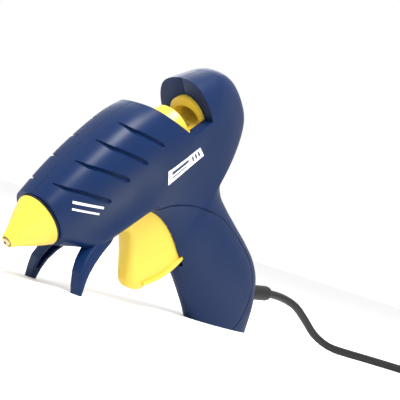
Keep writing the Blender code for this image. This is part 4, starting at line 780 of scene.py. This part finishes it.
def trigger_mesh():
    """Slices of the side outline from one flank to the other.

    The slice at y has its front edge moved back by 5.5 mm (1 - sqrt(1 - (|y| / half)^3)), and by 5 mm
    at most, which rounds it; near the pin it moves less. The lip is a wider slice of a ring.
    """
    pu, pv = TRIGGER_PIVOT
    start, end = math.atan2(-0.0530, -0.0205), -math.pi / 2 + PAD_ANGLE
    front = smooth_line([(u, v, 0) for u, v in TRIGGER_FRONT], 6)[:, :2]
    rear = np.vstack([arc(pu, pv, LIP_R - 0.0002, 30, start, end - start),
                      [(pu + 0.010 * math.sin(PAD_ANGLE), pv - 0.010 * math.cos(PAD_ANGLE)),
                       (pu + 0.0046, pv + 0.0010), (pu + 0.0030, pv + 0.0038)]])
    moved = np.sin(np.clip(np.linspace(0, 1.35, len(front)), 0, 1) * np.pi / 2)[:, None]
    y = TRIGGER_HALF * np.sin(np.linspace(-1, 1, 31) * np.pi / 2)
    back = 0.0055 * (1 - np.sqrt(1 - np.clip(np.abs(y) / TRIGGER_HALF, 0, 0.9999) ** 3))
    back = np.minimum(back, 0.0050)
    rings = []
    for k in range(31):
        shifted = front + moved * (back[k], 0.0)
        rings.append(barrel(np.insert(np.vstack([shifted, rear]), 2, y[k], 1)))
    body = skinned("trigger_visual", rings)
    lip = np.vstack([arc(pu, pv, LIP_R, 48, start - 0.02, end - start - 0.02),
                     arc(pu, pv, LIP_R - LIP_THICK, 48, start - 0.02, end - start - 0.02)[::-1]])
    changes = [("UNION", prism(lip, -LIP_HALF, LIP_HALF))]
    pad = np.array((math.sin(PAD_ANGLE), -math.cos(PAD_ANGLE)))
    for sign in (-1, 1):
        pocket = np.vstack([[(0.0905, -0.0330), (0.0840, -0.0400), (0.0800, -0.0560), (0.0800, -0.0690)],
                            arc(pu, pv, 0.0495, 12, math.atan2(-0.0470, -0.0110), 0.50),
                            [pad * 0.060 + (pu, pv + 0.012), pad * 0.040 + (pu + 0.01, pv),
                             pad * 0.018 + (pu + 0.01, pv)]])
        near, far = sorted((sign * 0.0016, sign * (TRIGGER_HALF - 0.0016)))
        changes.append(("DIFFERENCE", prism(pocket, near, far)))
    changes.append(("DIFFERENCE", prism(arc(pu, pv, PIN_HOLE_R), -0.020, 0.020)))
    return smooth_edges(shaped(body, changes), 35)


finish_piece(trigger_mesh(), feed_yellow, "trigger", "feed", "trigger")

# ---- feeder -------------------------------------------------------------------------------------
# Yellow carriage that the trigger drives: a dome in front, a guide ring in the hoop and a funnel for
# the stick between them.
STICK_HOLE, STICK_FLAT = 0.0066, 0.0051 / 0.0066


def feeder_mesh():
    """The turned outline, with the window, the stick's funnel and the lever's and jaw's pockets cut."""
    dome = smooth_line([(0.1125, 0.0098, 0), (0.1155, 0.0120, 0), (0.1195, 0.0135, 0),
                        (0.1258, 0.0143, 0)], 10)
    outline = np.vstack([[(0.1125, 0.0)], dome[:, :2],
                         [(0.1264, 0.0143), (0.1268, 0.0139), (0.1268, 0.0123), (0.1576, 0.0123),
                          (0.1580, 0.0119), (0.1580, 0.0)]])
    body = turned_solid("feeder_visual", outline)
    funnel = [(0.1000, 0), (0.1700, 0), (0.1700, 0.0206), (0.1562, STICK_HOLE + 0.0002), (0.1556, STICK_HOLE),
              (0.1425, STICK_HOLE), (0.1395, 0.0096), (0.1394, STICK_HOLE), (0.1000, STICK_HOLE)]
    tip_u = LEVER_PIVOT[0] + 0.0230 * math.sin(math.radians(15.1))
    changes = [("UNION", block(0.1155, 0.1290, -0.0206, -0.0060, -0.0055, 0.0055)),
               ("DIFFERENCE", block(0.1268, 0.1400, -0.0030, 0.0200, -0.0200, 0.0200)),
               ("DIFFERENCE", turned_solid("funnel", funnel, squash=STICK_FLAT)),
               ("DIFFERENCE", block(tip_u - 0.0031, tip_u + 0.0031, -0.0300, -0.0125, -0.0045, 0.0045)),
               ("DIFFERENCE", block(0.1148, tip_u - 0.0035, -0.0300, -0.0030, -0.0032, 0.0032)),
               ("DIFFERENCE", prism(arc(0.1172, -0.0112, 0.0013), -0.020, 0.020))]
    return smooth_edges(shaped(body, changes), 35)


finish_piece(feeder_mesh(), feed_yellow, "feeder", "feed", "feeder")

# ---- inner parts and fasteners ------------------------------------------------------------------
# What the shells hide keeps its solid and gets its real material: cast aluminium chamber, ceramic
# heater, silicone sleeve, plated steel for clips, pins, spring and screws, and silicone wires.
FINISHES = (
    (("melt_chamber",), moulded("cast_aluminium", (0.62, 0.62, 0.63), 0.38, 0.5, 1200.0, 0.25, 0.0003, 1.0)),
    (("heater_ptc",), moulded("heater_ceramic", (0.55, 0.52, 0.46), 0.5, 0.6, 900.0, 0.1, 0.0003)),
    (("inlet_sleeve",), moulded("silicone_red", (0.42, 0.06, 0.04), 0.4, 0.5, 700.0, 0.1, 0.0003)),
    (("heater_clip", "sleeve_clamp", "lever_pin", "trigger_pin", "jaw_pin", "return_spring", "cord_clamp",
      "screw_1", "screw_2", "screw_3", "screw_4", "screw_5"),
     moulded("plated_steel", (0.60, 0.60, 0.62), 0.26, 0.38, 2500.0, 0.08, 0.0002, 1.0)),
    (("grip_jaw",), moulded("hard_steel", (0.36, 0.36, 0.38), 0.3, 0.42, 2500.0, 0.12, 0.0002, 1.0)),
    (("feed_lever",), moulded("lever_grey", (0.20, 0.20, 0.21), 0.4, 0.5, 1500.0, 0.1, 0.0003)),
    (("wire_left",), moulded("wire_brown", (0.11, 0.035, 0.012), 0.4, 0.5, 900.0, 0.1)),
    (("wire_right",), moulded("wire_blue", (0.02, 0.07, 0.30), 0.4, 0.5, 900.0, 0.1)),
)
for names, mat in FINISHES:
    for name in names:
        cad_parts[name].data.materials.clear()
        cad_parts[name].data.materials.append(mat)
